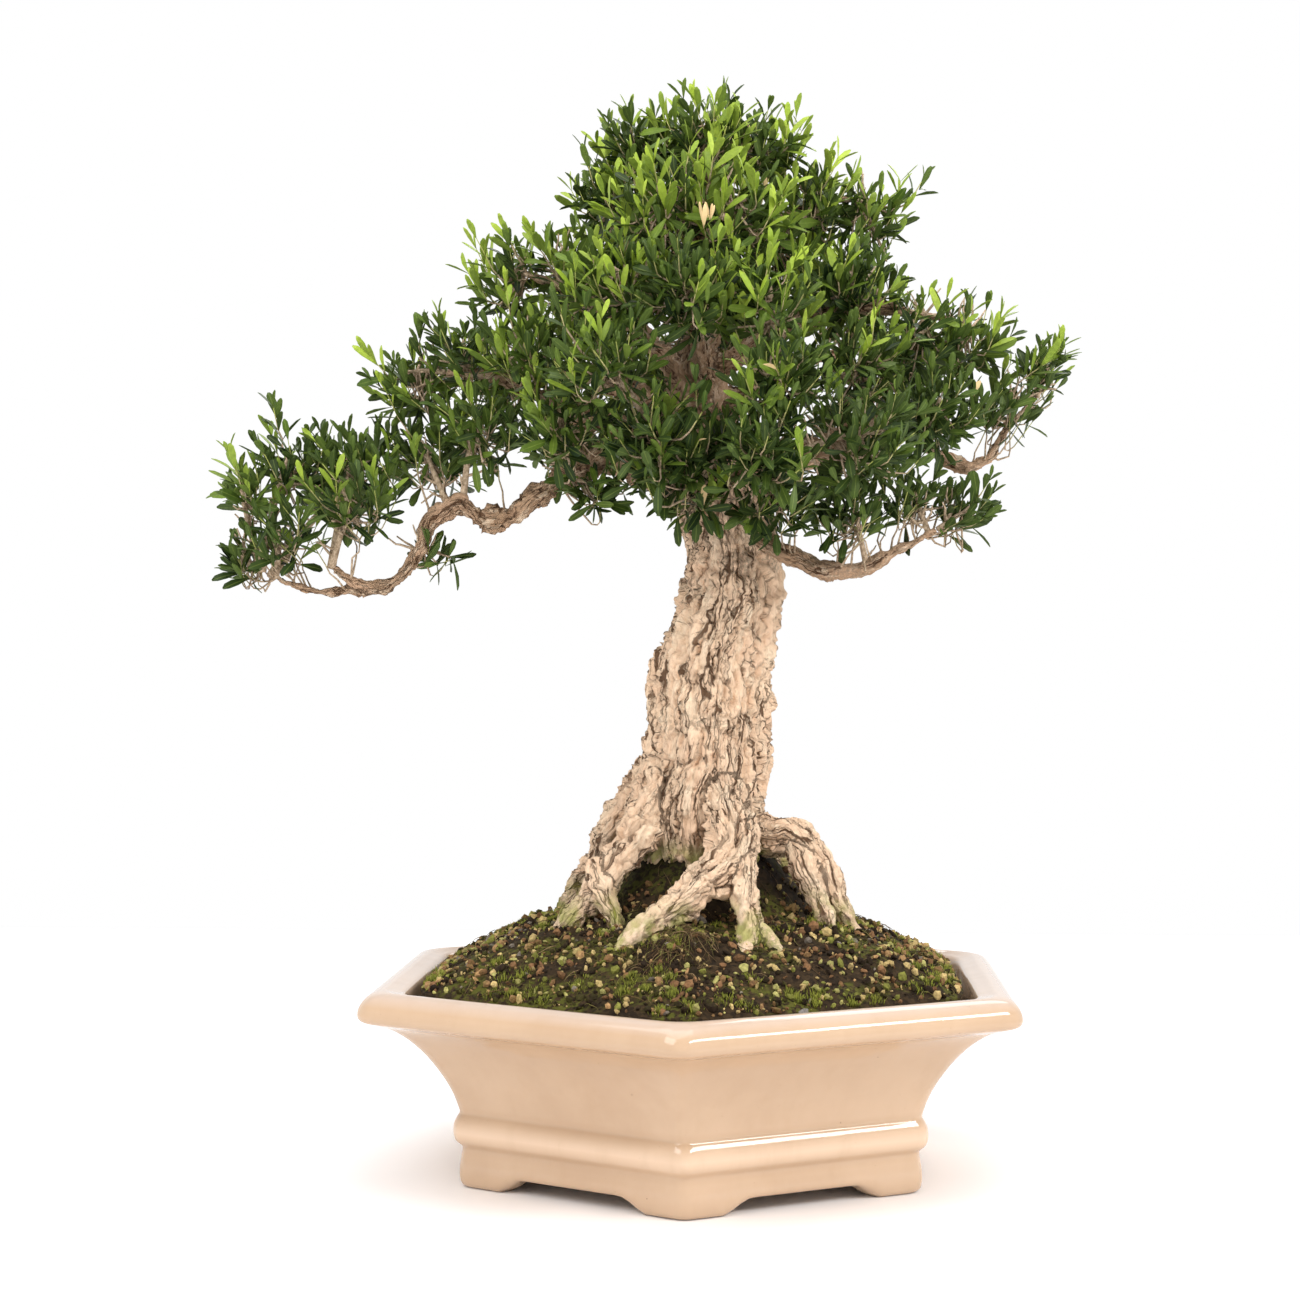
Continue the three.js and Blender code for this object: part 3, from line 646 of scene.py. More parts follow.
# The limbs, as points with a radius, and the sprays of leaves on each, as middles with a reach
limbs = {
    "lowerLeft": (
        [(8, -8, 416, 18), (-8, -13, 438, 15), (-35, -20, 449, 12), (-61, -30, 452, 11), (-90, -35, 436, 9.5),
         (-113, -38, 418, 8.5), (-131, -40, 416, 8), (-152, -40, 425, 7.5), (-167, -40, 411, 7),
         (-175, -40, 397, 6.5), (-184, -40, 382, 6), (-198, -40, 371, 5.5), (-216, -42, 375, 4.5),
         (-230, -42, 384, 3.5)],
        [(-136, -45, 480, 29), (-175, -22, 466, 28), (-220, -25, 460, 27), (-216, -58, 430, 28),
         (-162, -36, 394, 12), (-236, 40, 438, 29), (-259, -25, 458, 26)]),
    "lowRunner": (
        [(-194, -40, 371, 5), (-225, -38, 370, 4), (-251, -35, 372, 3.2), (-276, -30, 382, 2.5)],
        [(-263, -42, 408, 26), (-290, -28, 438, 23), (-291, -30, 393, 20)]),
    "middleLeft": (
        [(0, 0, 470, 11), (-48, -15, 477, 9), (-86, -25, 489, 7), (-125, -25, 506, 5), (-160, -20, 510, 3)],
        [(-104, -52, 528, 29), (-149, -25, 529, 27), (-186, -15, 511, 26), (-84, -92, 479, 28),
         (-67, -42, 438, 19)]),
    "shoulderLeft": (
        [(2, 0, 500, 10), (-35, -20, 535, 7), (-74, -20, 560, 5), (-106, -15, 573, 3)],
        [(-126, -5, 577, 24), (-87, -15, 584, 27), (-52, -85, 567, 29)]),
    "topLeft": (
        [(4, 0, 575, 7), (-29, 0, 609, 5), (-50, 4, 628, 3)],
        [(-56, 4, 637, 27), (-35, 10, 673, 28), (-49, 78, 627, 31)]),
    "leader": (
        [(7, 0, 640, 5), (8, 0, 660, 3)],
        [(8, -22, 675, 28), (46, 4, 669, 28), (6, 62, 678, 30)]),
    "topRight": (
        [(6, 0, 575, 7), (42, 0, 603, 5.5), (81, 0, 622, 4), (104, 0, 624, 2.5)],
        [(79, -10, 631, 27), (118, 0, 622, 25), (73, 78, 629, 31)]),
    "rightUpper": (
        [(8, 0, 512, 10), (55, -10, 537, 7.5), (93, -15, 550, 6), (131, -20, 550, 4.5), (166, -15, 544, 3)],
        [(99, -28, 574, 29), (102, -64, 518, 29), (144, -22, 541, 27), (181, -10, 539, 24)]),
    "rightMiddle": (
        [(20, 0, 446, 12), (60, -6, 454, 10), (100, -12, 470, 8), (132, -15, 474, 6.5), (167, -12, 453, 5),
         (187, -10, 454, 4.2), (196, -5, 466, 3.8), (205, 0, 479, 3.2), (222, 0, 496, 2.6)],
        [(153, -52, 490, 29), (203, -10, 496, 24), (232, 0, 522, 23)]),
    "rightLower": (
        [(34, -6, 418, 10), (46, -20, 402, 9), (62, -34, 390, 7.5), (80, -44, 383, 7), (104, -50, 384, 6),
         (130, -50, 396, 4.5), (152, -47, 408, 3)],
        [(52, -76, 426, 26), (98, -62, 422, 26), (138, -45, 432, 26), (174, -40, 422, 21)]),
    "frontUpper": (
        [(6, -6, 572, 7), (3, -44, 597, 4.5), (4, -56, 604, 3)],
        [(-21, -62, 618, 33), (31, -66, 612, 33)]),
    "frontMiddle": (
        [(3, -14, 490, 10), (-4, -56, 518, 6.5), (2, -88, 545, 4)],
        [(-5, -110, 558, 33), (44, -96, 555, 32), (-60, -122, 512, 32)]),
    "frontRight": (
        [(12, -16, 474, 10), (28, -66, 486, 6), (45, -100, 494, 3.5)],
        [(49, -126, 504, 32), (105, -104, 466, 33)]),
    "frontLower": (
        [(4, -18, 444, 10), (-14, -66, 452, 6), (-20, -92, 458, 3.5)],
        [(-25, -112, 465, 34), (42, -129, 461, 34)]),
    "veil": (
        [(8, -18, 430, 8), (4, -50, 430, 5), (2, -74, 434, 3.5)],
        [(-17, -80, 444, 23), (12, -86, 460, 25), (-3, -74, 431, 20), (-30, -84, 470, 22)]),
    "hollow": (
        [(6, 8, 500, 9), (8, 36, 520, 6), (4, 56, 548, 3.5)],
        [(30, 50, 556, 27), (-32, 54, 590, 27), (-8, 62, 520, 26), (58, 44, 602, 25), (-62, 48, 548, 25),
         (10, 34, 626, 24)]),
    "frontSide": ([(16, -12, 442, 9), (34, -58, 442, 6), (42, -104, 444, 3.5)], []),
    "backSideRight": ([(20, 10, 452, 10), (62, 56, 460, 7), (98, 96, 464, 4)], []),
    "backSideLeft": ([(0, 10, 450, 10), (-44, 56, 460, 7), (-74, 96, 466, 4)], []),
    "backUpper": (
        [(6, 6, 546, 8), (14, 66, 560, 5), (20, 112, 572, 3.5)],
        [(20, 136, 579, 38), (-70, 106, 575, 37)]),
    "backRight": (
        [(12, 10, 490, 10), (64, 64, 524, 6), (116, 98, 540, 3.5)],
        [(108, 92, 582, 35), (146, 104, 534, 36)]),
    "backLeft": ([(-2, 10, 486, 10), (-60, 64, 514, 6), (-108, 84, 526, 3.5)], [(-132, 90, 531, 36)]),
    "backLow": (
        [(5, 12, 456, 11), (-6, 76, 490, 7), (-16, 124, 520, 4)],
        [(-22, 150, 530, 39), (110, 112, 484, 36), (-84, 112, 490, 37)]),
}

bark = {
    "warp": (18.0, 18.0, 26.0),  # sizes of the waves that bend the pattern, and how far they bend it
    "warpBy": (4.6, 4.6, 9.0),
    "plate": (9.0, 9.0, 38.0),  # sizes across, across and along the grain
    "flake": (4.6, 4.6, 15.0),
    "ridge": (7.0, 7.0, 38.0),
    "grain": (3.2, 3.2, 10.0),
    "wetHeight": (26, 2),  # heights above the soil between which the foot of the wood turns damp
    "trunkAndRoots": {"voxel": 1.6, "fineness": 1.0, "knotty": 0.38, "name": "Plated bark",
                      "colours": [(0.99, 0.765, 0.55), (0.86, 0.615, 0.425)]},
    # The limbs' bark is browner, and its colours are darker still as painted shade under the crown
    "limbs": {"voxel": 2.1, "fineness": 1.7, "knotty": 0.10, "name": "Shaded limb bark",
              "colours": [(0.64, 0.44, 0.29), (0.40, 0.25, 0.15)]},
}


# Closed tubes as one mesh, made into one even skin by a voxel remesh
def fusedTubes(name, tubes, voxel):
    holder = newObject(name, joined(name, tubes))
    remesh = holder.modifiers.new("Skin", "REMESH")
    remesh.mode = "VOXEL"
    remesh.voxel_size = voxel * mm
    smooth = holder.modifiers.new("Soften", "SMOOTH")
    smooth.factor = 0.5
    smooth.iterations = 3
    return settled(holder)


# Bark coordinates: for each point the nearest line's own frame, that is across, across and along it,
# so that plates run with the trunk, the root or the limb that they lie on
def barkPlaces(points, lines):
    rows = np.vstack([
        np.column_stack([line, *carriedFrame(line), radius, lengthsAlong(line), np.full(len(line), key)])
        for key, (line, radius) in enumerate(lines)])
    nearest = np.empty(len(points), int)
    for start in range(0, len(points), 4000):
        block = points[start:start + 4000]
        away = np.linalg.norm(block[:, None, :] - rows[None, :, :3], axis=2) - rows[None, :, 12]
        nearest[start:start + 4000] = np.argmin(away, axis=1)
    row = rows[nearest]
    offset = points - row[:, :3]
    along, side, across = (np.sum(offset * row[:, at:at + 3], axis=1) for at in (3, 6, 9))
    radius, length, key = row[:, 12:].T
    return np.stack([side + 117.0 * key, across + 61.0 * key, length + along], axis=1), key, radius


# Bark relief in millimetres, and its masks: long plates parted by furrows, smaller plates in them,
# rough lumps where knots are, and grain; every part is noise in the bark's own coordinates
def barkRelief(place, points, strength, knotty):
    warp = [roughNoise(place / size, 3, seed) for size, seed in zip(bark["warp"], (11, 23, 37))]
    wavy = place + np.stack(warp, axis=1) * np.array(bark["warpBy"])
    nearest, second, tone = cellNoise(wavy / np.array(bark["plate"]), 3)
    wide = 1 - smoothStep(0.0, 0.13, second - nearest)
    nearestSmall, secondSmall, toneSmall = cellNoise(wavy / np.array(bark["flake"]) + 7.3, 5)
    narrow = 1 - smoothStep(0.0, 0.20, secondSmall - nearestSmall)
    knots = smoothStep(knotty, knotty + 0.38, roughNoise(points / 26.0, 3, 71))
    lumps = np.clip(cellNoise(points / 3.4, 9)[0], 0, 1)
    ridge = 1 - np.abs(softNoise(wavy / np.array(bark["ridge"]) + 3.1, 61)) * 2
    relief = (-2.6 * wide - 1.7 * narrow * (1 - wide) + 4.2 * (tone - 0.5) + 3.6 * (toneSmall - 0.5)
              + 1.2 * ridge + 1.4 * roughNoise(wavy / np.array(bark["grain"]), 2, 41)
              + 1.3 * roughNoise(points / 13.0, 2, 53))
    relief = relief * (1 - 0.5 * knots) + knots * (1.8 - 3.4 * lumps)
    # The furrow mask: the furrows and the low places of the relief, where the colour gets painted shade
    furrowShade = np.clip(np.maximum(wide, narrow * 0.62), 0, 1)
    furrowShade = np.clip(np.maximum(furrowShade * 0.62, -relief / 6.0), 0, 1)
    return relief * strength, np.stack([furrowShade, 0.6 * tone + 0.4 * toneSmall, knots], axis=1)


# Plates of two colours, parted by dark cracks of two sizes whose dark is partly painted shade, with rosy and
# pale patches, grey knots and algae near the soil; painted shade browns the furrows, the low places and the
# run beside the coarse cracks, and goes nearly black in the deepest furrows
def barkMaterial(name, colours):
    skin = Finish(name)
    furrowShade, tone, knots = skin.parts(skin.attribute("barkMask"))
    place = skin.attribute("barkPlace", "Vector")
    grainPlace = skin.stretched(place, 0.28)
    grain = skin.noise(grainPlace, 800.0, 6.0, 0.68)
    coarse = skin.use(fissures, place, 118.0, 0.055, 0.38)
    narrow = skin.use(fissures, place, 330.0, 0.055, 0.42)
    plates = skin.plus(skin.times(coarse["Tone"], 0.35), skin.times(narrow["Tone"], 0.35))
    skin.colour = skin.mix(skin.maths("ADD", plates, skin.times(tone, 0.5), clamp=True), *colours)
    skin.blotch(place, 45.0, 0.40, 0.66, (0.80, 0.52, 0.35), 0.4)
    skin.blotch(grainPlace, 160.0, 0.50, 0.66, (0.93, 0.76, 0.56), 0.6)
    skin.coat(skin.ranged(grain, 0.34, 0.47, 0.42, 0.0), (0.42, 0.25, 0.14))
    skin.blotch(place, 480.0, 0.44, 0.56, (0.27, 0.205, 0.145), skin.times(knots, 0.6))
    # Painted shade: browner in the furrows, the low places and beside the coarse cracks
    skin.coat(skin.maths("MAXIMUM", skin.times(coarse["Soft"], 0.35), furrowShade), (0.52, 0.315, 0.18), 0.36)
    # Dark cracks, partly the bark's own dark and partly painted shade in them, and near-black painted shade
    # in the deepest furrows
    crack = skin.maths("MAXIMUM", skin.times(coarse["Mask"], 0.92), skin.times(narrow["Mask"], 0.6))
    cracksAndDeepShade = skin.maths("MAXIMUM", crack, skin.ranged(furrowShade, 0.62, 0.98, 0.0, 0.85))
    skin.coat(cracksAndDeepShade, (0.105, 0.052, 0.026))
    damp = skin.times(skin.attribute("barkDamp", "Fac"), 0.8)
    skin.blotch(skin.place, 70.0, 0.38, 0.60, (0.30, 0.33, 0.06), damp)
    beside = skin.maths("MAXIMUM", coarse["Soft"], narrow["Soft"])
    height = skin.plus(skin.times(grain, 0.55), skin.times(crack, -0.9), skin.times(beside, -0.5), plates)
    return skin.done({"Roughness": 0.88, "Specular IOR Level": 0.05}, (height, 1.0, 0.0026))


# A piece of wood: fused tubes, with each point moved along its normal by the bark's relief
def barkPiece(name, tubes, lines, strengthOf, stands):
    kind = bark[name]
    mesh = fusedTubes(name, tubes, kind["voxel"])
    points = readVectors(mesh.vertices, "co")
    local = ((points - potMiddle) / mm) @ turnBack
    place, key, radius = barkPlaces(local, lines)
    place = place * kind["fineness"]
    relief, mask = barkRelief(place, local, strengthOf(key, radius), kind["knotty"])
    points = points + readVectors(mesh.vertex_normals, "vector") * (relief * mm)[:, None]
    mesh.vertices.foreach_set("co", points.astype(np.float32).ravel())
    above = local[:, 2] - moundHeight(local[:, 0], local[:, 1])
    addLayer(mesh, "barkMask", mask)
    addLayer(mesh, "barkDamp", smoothStep(*bark["wetHeight"], above), "FLOAT")
    addLayer(mesh, "barkPlace", place * mm, "FLOAT_VECTOR")
    mesh.polygons.foreach_set("use_smooth", np.ones(len(mesh.polygons), bool))
    mesh.update()
    addPiece(name, mesh, barkMaterial(kind["name"], kind["colours"]), stands)
    print(name, "made with", len(mesh.polygons), "faces")


# The trunk: ellipses across its height, with three and five slow lobes that turn as they rise
def trunkTube():
    rows = smoothLine(wood["trunk"], 5)
    z, middleX, middleY, halfX, halfY = (rows[:, i:i + 1] for i in range(5))
    sides = 72
    angle = np.linspace(0, 2 * math.pi, sides, endpoint=False)
    lobes = 1 + 0.035 * np.cos(3 * angle + z / 60) + 0.03 * np.cos(5 * angle - z / 85)
    x = middleX + halfX * lobes * np.cos(angle)
    y = middleY + halfY * lobes * np.sin(angle)
    points = np.stack([x, y, np.broadcast_to(z, x.shape)], axis=-1).reshape(-1, 3)
    line = np.hstack([middleX, middleY, z])
    return (points, *gridFaces(len(rows), sides)), (line, (rows[:, 3] + rows[:, 4]) / 2)


# A limb's tube: its line waves a little from side to side, and its radius swells at nodes
def limbTube(path, seed, wander, swell, slender=1.0):
    run = smoothLine(path, 8)
    line, radius = run[:, :3], run[:, 3]
    steps = lengthsAlong(line)
    place = np.stack([steps / 14.0, np.full(len(steps), seed * 3.7), np.zeros(len(steps))], axis=1)
    sway = np.stack([softNoise(place, i) for i in (1, 2, 3)], axis=1)
    line = line + sway * wander * radius[:, None] * smoothStep(0, 20, steps)[:, None]
    swollen = radius * slender * (1 + swell * softNoise(place * 1.7 + 5, 4))
    return tube(line, swollen, 14), (line, swollen)


def addWood():
    made = [trunkTube()] + [limbTube(path, i, 0.12, 0.16) for i, path in enumerate(wood["roots"])]
    barkPiece("trunkAndRoots", *zip(*made), lambda key, radius: np.where(
        key == 0, 1.1, np.clip(radius / 14, 0.3, 0.95)), ["tree_wood"])
    made = [limbTube(path, i + 20, 0.34, 0.36, 0.86) for i, (path, _) in enumerate(limbs.values())]
    made.append(limbTube(wood["leader"], 50, 0.1, 0.15))
    barkPiece("limbs", *zip(*made), lambda key, radius: np.clip(radius / 11, 0.25, 0.85), [])


addWood()


# Soil

# The bed: rings at growing shares of the way to the rim, then down the pot's wall and over its floor
def buildSoilBed():
    angle = np.linspace(0, 2 * math.pi, soil["columns"], endpoint=False)
    rim = 1 / rimShare(np.cos(angle), np.sin(angle))
    shares = (np.linspace(0.02, 0.996, soil["rings"]) ** 0.8)[::-1, None] * rim
    z = moundHeight((shares * np.cos(angle)).ravel(), (shares * np.sin(angle)).ravel()).reshape(shares.shape)
    low, wall = np.array([(soil["wall"][0][0], 0.05)] + soil["wall"]).T[:, :, None]
    shares = np.vstack([wall * rim, shares])
    z = np.vstack([np.broadcast_to(low, (len(low), len(angle))), z])
    points = np.stack([shares * np.cos(angle), shares * np.sin(angle), z], axis=-1).reshape(-1, 3)
    return newMesh("soilBed", placed(points), gridFaces(*z.shape))


# Damp humus in two browns, or the grains' own tints, with moss in patches and painted shade, near black,
# under the arches of the roots
def soilMaterial(name, tinted):
    earth = Finish(name)
    place = earth.place
    if tinted:
        earth.colour = earth.attribute("grainTint")
    else:
        tone = earth.parts(earth.cells(place, 420.0)["Color"])["Green"]
        earth.colour = earth.mix(tone, (0.012, 0.008, 0.005), (0.062, 0.038, 0.018))
    noise = earth.use(patches, place, 700.0, 0.3, 0.7)
    earth.coat(noise["Mask"], (0.03, 0.02, 0.012), 0.5)
    mossy = earth.times(earth.use(patches, place, 26.0, 0.47, 0.60)["Mask"], 0.25 if tinted else 0.55)
    earth.blotch(place, 260.0, 0.42, 0.56, (0.13, 0.14, 0.02), mossy)
    # Painted shade: near black round a point under the arches of the roots, fading out by 76 mm
    level = earth.vectors("MULTIPLY", place, (1.0, 1.0, 0.0))[0]
    away = earth.vectors("DISTANCE", level, (0.035, 0.016, 0.0))["Value"]
    earth.coat(earth.ranged(away, 0.046, 0.076, 0.75, 0.0), (0.006, 0.004, 0.003))
    return earth.done({"Roughness": 0.9, "Specular IOR Level": 0.12}, (noise["Noise"], 0.8, 0.0009))


# Random places on the mound, clear of the rim
def scattered(count, seed):
    rng = np.random.default_rng(seed)
    spots = rng.uniform(-soil["innerReach"], soil["innerReach"], (count * 3, 2))
    return rng, spots[rimShare(*spots.T) < 0.985][:count]


# One turn for each of many things, from even random quaternions
def randomTurns(rng, count):
    w, x, y, z = unit(rng.normal(size=(count, 4))).T
    rows = [[1 - 2 * (y * y + z * z), 2 * (x * y - z * w), 2 * (x * z + y * w)],
            [2 * (x * y + z * w), 1 - 2 * (x * x + z * z), 2 * (y * z - x * w)],
            [2 * (x * z - y * w), 2 * (y * z + x * w), 1 - 2 * (x * x + y * y)]]
    return np.array(rows).transpose(2, 0, 1)


grains = {
    "count": 5400,
    "size": (2.4, 9.0),
    "fineness": 2.2,  # a high power makes most of them small
    "heapReach": 62,  # fewer lie on the heap, to keep it dark as painted shade
    "tints": [(0.64, 0.47, 0.20), (0.48, 0.44, 0.15), (0.25, 0.13, 0.06), (0.024, 0.015, 0.009),
              (0.24, 0.20, 0.16), (0.24, 0.24, 0.05), (0.46, 0.27, 0.12)],
    "shares": [0.15, 0.10, 0.22, 0.32, 0.03, 0.09, 0.09],
    "markers": [  # place, size and colour of single stones
        (70.0, -163.0, 8.5, (0.27, 0.25, 0.24)), (36.0, -168.0, 7.0, (0.25, 0.17, 0.13)),
        (118.0, -66.0, 8.5, (0.55, 0.36, 0.16))],
}


# Each grain is a twenty-sided lump, squashed, jittered and turned, half sunk in the bed
def addGrains():
    rng, spots = scattered(grains["count"], 5)
    onHeap = awayFrom("heapPlace", *spots.T) < grains["heapReach"]
    spots = spots[~onHeap | (rng.random(len(spots)) < 0.45)]
    count = len(spots)
    g = (1 + math.sqrt(5)) / 2
    quarter = np.array([(-1, g, 0), (1, g, 0), (-1, -g, 0), (1, -g, 0)])
    corners = unit(np.vstack([np.roll(quarter, i, axis=1) for i in range(3)]))
    sides = np.array([(0, 11, 5), (0, 5, 1), (0, 1, 7), (0, 7, 10), (0, 10, 11), (1, 5, 9), (5, 11, 4),
                      (11, 10, 2), (10, 7, 6), (7, 1, 8), (3, 9, 4), (3, 4, 2), (3, 2, 6), (3, 6, 8),
                      (3, 8, 9), (4, 9, 5), (2, 4, 11), (6, 2, 10), (8, 6, 7), (9, 8, 1)])
    low, high = grains["size"]
    size = low + (high - low) * rng.random(count) ** grains["fineness"]
    tint = np.array(grains["tints"])[rng.choice(len(grains["tints"]), count, p=grains["shares"])]
    tint = tint * rng.uniform(0.7, 1.25, (count, 1))
    for i, (x, y, wide, colour) in enumerate(grains["markers"]):
        spots[i], size[i], tint[i] = (x, y), wide, colour
    shape = rng.uniform(0.28, 1.0, (count, 1, 3)) * rng.uniform(0.74, 1.16, (count, 12, 1))
    lumps = np.einsum("nij,nkj->nki", randomTurns(rng, count), corners[None] * shape)
    base = np.column_stack([spots, moundHeight(*spots.T) + size * 0.16])
    points = lumps * (size / 2)[:, None, None] + base[:, None, :]
    faces = repeated(sides, count, 12)
    mesh = newMesh("soilGrains", placed(points.reshape(-1, 3)), [faces])
    mesh.polygons.foreach_set("use_smooth", np.zeros(len(faces), bool))
    addLayer(mesh, "grainTint", np.repeat(tint, 12, axis=0))
    addPiece("soilGrains", mesh, soilMaterial("Soil grains", True))


moss = {
    "clumps": 155,
    "blades": 56,
    "spread": 6.5,
    "height": 3.4,
    "tries": 4000,
    "wish": (0.04, 0.65, 0.55, 0.5, 0.25),  # for moss anywhere, by the rim, by roots, on the dome, in patches
    "thinness": 0.40,
    "rootRing": (92, 16),  # reach and width of the ring round the roots' feet
    # no moss on the heap, to keep it dark as painted shade
    "heapReach": 74,
    "light": (0.34, 0.34, 0.05),
    "dark": (0.08, 0.10, 0.015),
}


# Moss: clumps of short three-sided blades, tallest in a clump's middle, most of them near the rim,
# round the roots' feet and on the little dome
def addMoss():
    rng, spots = scattered(moss["tries"], 17)
    ring = np.exp(-((rimShare(*spots.T) - 0.95) / 0.06) ** 2)
    reach, width = moss["rootRing"]
    roots = np.exp(-((np.hypot(*spots.T) - reach) / width) ** 2)
    dome = np.exp(-(awayFrom("domePlace", *spots.T) / 24) ** 2)
    patch = softNoise(np.column_stack([spots / 24.0, np.zeros(len(spots))]), 91)
    heaped = awayFrom("heapPlace", *spots.T) > moss["heapReach"]
    places = (1, ring, roots, dome, np.clip(patch, 0, 1))
    wish = sum(share * place for share, place in zip(moss["wish"], places))
    centres = spots[rng.random(len(spots)) < wish * heaped * moss["thinness"]][:moss["clumps"]]
    blades = moss["blades"]
    away = rng.normal(0, moss["spread"] * 0.5, (len(centres) * blades, 2))
    away = away * np.repeat(rng.uniform(0.5, 1.3, len(centres)), blades)[:, None]
    spot = np.repeat(centres, blades, axis=0) + away
    keep = rimShare(*spot.T) < 0.99
    spot, away = spot[keep], away[keep]
    count = len(spot)
    tall = moss["height"] * rng.uniform(0.5, 1.2, count) * np.exp(-(np.hypot(*away.T) / moss["spread"]) ** 2)
    foot = np.column_stack([spot, moundHeight(*spot.T) + 0.2])
    lean = rng.normal(0, 0.45, (count, 2)) + away * 0.08
    tip = foot + np.column_stack([lean * tall[:, None], tall + 0.8])
    around = rng.uniform(0, 2 * math.pi, count)[:, None] + np.array([0, 2, 4]) * math.pi / 3
    wide = rng.uniform(0.28, 0.55, (count, 1))
    feet = np.stack([wide * np.cos(around), wide * np.sin(around), np.full(around.shape, -0.5)], axis=-1)
    points = np.concatenate([foot[:, None, :] + feet, tip[:, None, :]], axis=1).reshape(-1, 3)
    sides = np.array([(0, 2, 1), (0, 1, 3), (1, 2, 3), (2, 0, 3)])
    mesh = newMesh("moss", placed(points), [repeated(sides, count, 4)])
    share = rng.random((count, 1)) * 0.75
    tint = np.array(moss["dark"]) * (1 - share) + np.array(moss["light"]) * share
    addLayer(mesh, "grainTint", (tint[:, None] * np.array([0.55, 0.55, 0.55, 1.5])[:, None]).reshape(-1, 3))
    green = Finish("Moss")
    green.colour = green.attribute("grainTint")
    green.blotch(green.place, 160.0, 0.35, 0.65, (0.16, 0.15, 0.03), 0.35)
    addPiece("moss", mesh, green.done({"Roughness": 0.85, "Specular IOR Level": 0.12}))


fibres = {
    "count": 620,
    "length": (7.0, 24.0),
    "radius": 0.22,
    "points": 7,
    "tints": [(0.30, 0.20, 0.10), (0.16, 0.095, 0.045), (0.22, 0.19, 0.06), (0.07, 0.045, 0.025)],
}


# Fibres: thin arcs that lie on the soil, with a slow turn and a low hump, a third of them on the dome
def addFibres():
    rng, spots = scattered(fibres["count"], 29)
    count = len(spots)
    near = count // 3
    spots[:near] = np.array(soil["domePlace"]) + rng.normal(0, 13, (near, 2))
    length = rng.uniform(*fibres["length"], count)[:, None]
    t = np.linspace(-0.5, 0.5, fibres["points"])[None, :]
    heading = rng.uniform(0, 2 * math.pi, (count, 1)) + rng.normal(0, 1.1, (count, 1)) * t
    x = spots[:, 0:1] + length * t * np.cos(heading)
    y = spots[:, 1:2] + length * t * np.sin(heading)
    inside = np.maximum(rimShare(x, y) / 0.985, 1)
    x, y = x / inside, y / inside
    hump = rng.uniform(0.3, 3.2, (count, 1)) * (1 - 4 * t * t)
    z = moundHeight(x.ravel(), y.ravel()).reshape(x.shape) + 0.7 + hump
    radii = fibres["radius"] * rng.uniform(0.6, 1.6, (count, 1)) * (1 - 1.28 * np.abs(t))
    points, *faces = thinTubes(np.stack([x, y, z], axis=-1), radii, 3)
    mesh = newMesh("rootFibres", placed(points), faces)
    tint = np.array(fibres["tints"])[rng.integers(0, 4, count)] * rng.uniform(0.7, 1.3, (count, 1))
    addLayer(mesh, "grainTint", np.repeat(tint, 3 * fibres["points"], axis=0))
    addPiece("rootFibres", mesh, soilMaterial("Root fibres", True))


addPiece("soilBed", buildSoilBed(), soilMaterial("Damp humus", False), ["soil"])
addGrains()
addMoss()
addFibres()
print("soil, grains, moss and fibres made")


# Foliage

leaf = {
    "rows": [0.0, 0.24, 0.58, 0.87, 1.0],
    "halfWidths": [0.10, 0.48, 1.0, 0.84, 0.24],
    "length": 20.5,
    "slimness": 0.27,
    "thickness": 0.5,
    "fold": 0.13,
}


# Many leaves at once. Each is a closed blade of five rings of four points: right edge, ridge of the
# upper side, left edge and keel of the underside; it arches back as the square of the way along it
def leafBlades(base, heading, face, length, width, arch):
    rows, half = np.array(leaf["rows"]), np.array(leaf["halfWidths"])
    face = unit(face - heading * np.sum(face * heading, axis=1, keepdims=True))
    side = np.cross(face, heading)
    x = length[:, None] * rows
    y = width[:, None] / 2 * half
    sag = -arch[:, None] * length[:, None] * rows ** 2
    rise = y * leaf["fold"] * 2
    thick = leaf["thickness"] * (0.35 + 0.65 * half)[None, :] / 2
    across = np.stack([y, np.zeros_like(y), -y, np.zeros_like(y)], axis=2)
    lift = np.stack([sag + rise, sag + thick, sag + rise, sag - thick], axis=2)
    points = (base[:, None, None, :] + heading[:, None, None, :] * x[:, :, None, None]
              + side[:, None, None, :] * across[..., None] + face[:, None, None, :] * lift[..., None])
    steps = len(rows)
    place = [np.tile([1, 0, -1, 0], steps), np.repeat(rows, 4), np.tile([0, 1, 0, -1], steps)]
    faces = np.vstack(gridFaces(steps, 4, len(base)))
    return points.reshape(-1, 3), faces, np.tile(np.column_stack(place), (len(base), 1))


# The blades' rims are sharp edges: both ends of such an edge are a right or both a left point
def leafMesh(name, leaves, tone):
    points, faces, place = leafBlades(*leaves)
    mesh = newMesh(name, placed(points @ turn), [faces])
    edges = np.zeros(len(mesh.edges) * 2, np.int32)
    mesh.edges.foreach_get("vertices", edges)
    first, second = edges.reshape(-1, 2).T % 4
    sharp = (first == second) & (first % 2 == 0)
    mesh.attributes.new("sharp_edge", "BOOLEAN", "EDGE").data.foreach_set("value", sharp)
    addLayer(mesh, "leafPlace", place, "FLOAT_VECTOR")
    addLayer(mesh, "leafTone", np.repeat(tone, 4 * len(leaf["rows"]), axis=0))
    return mesh
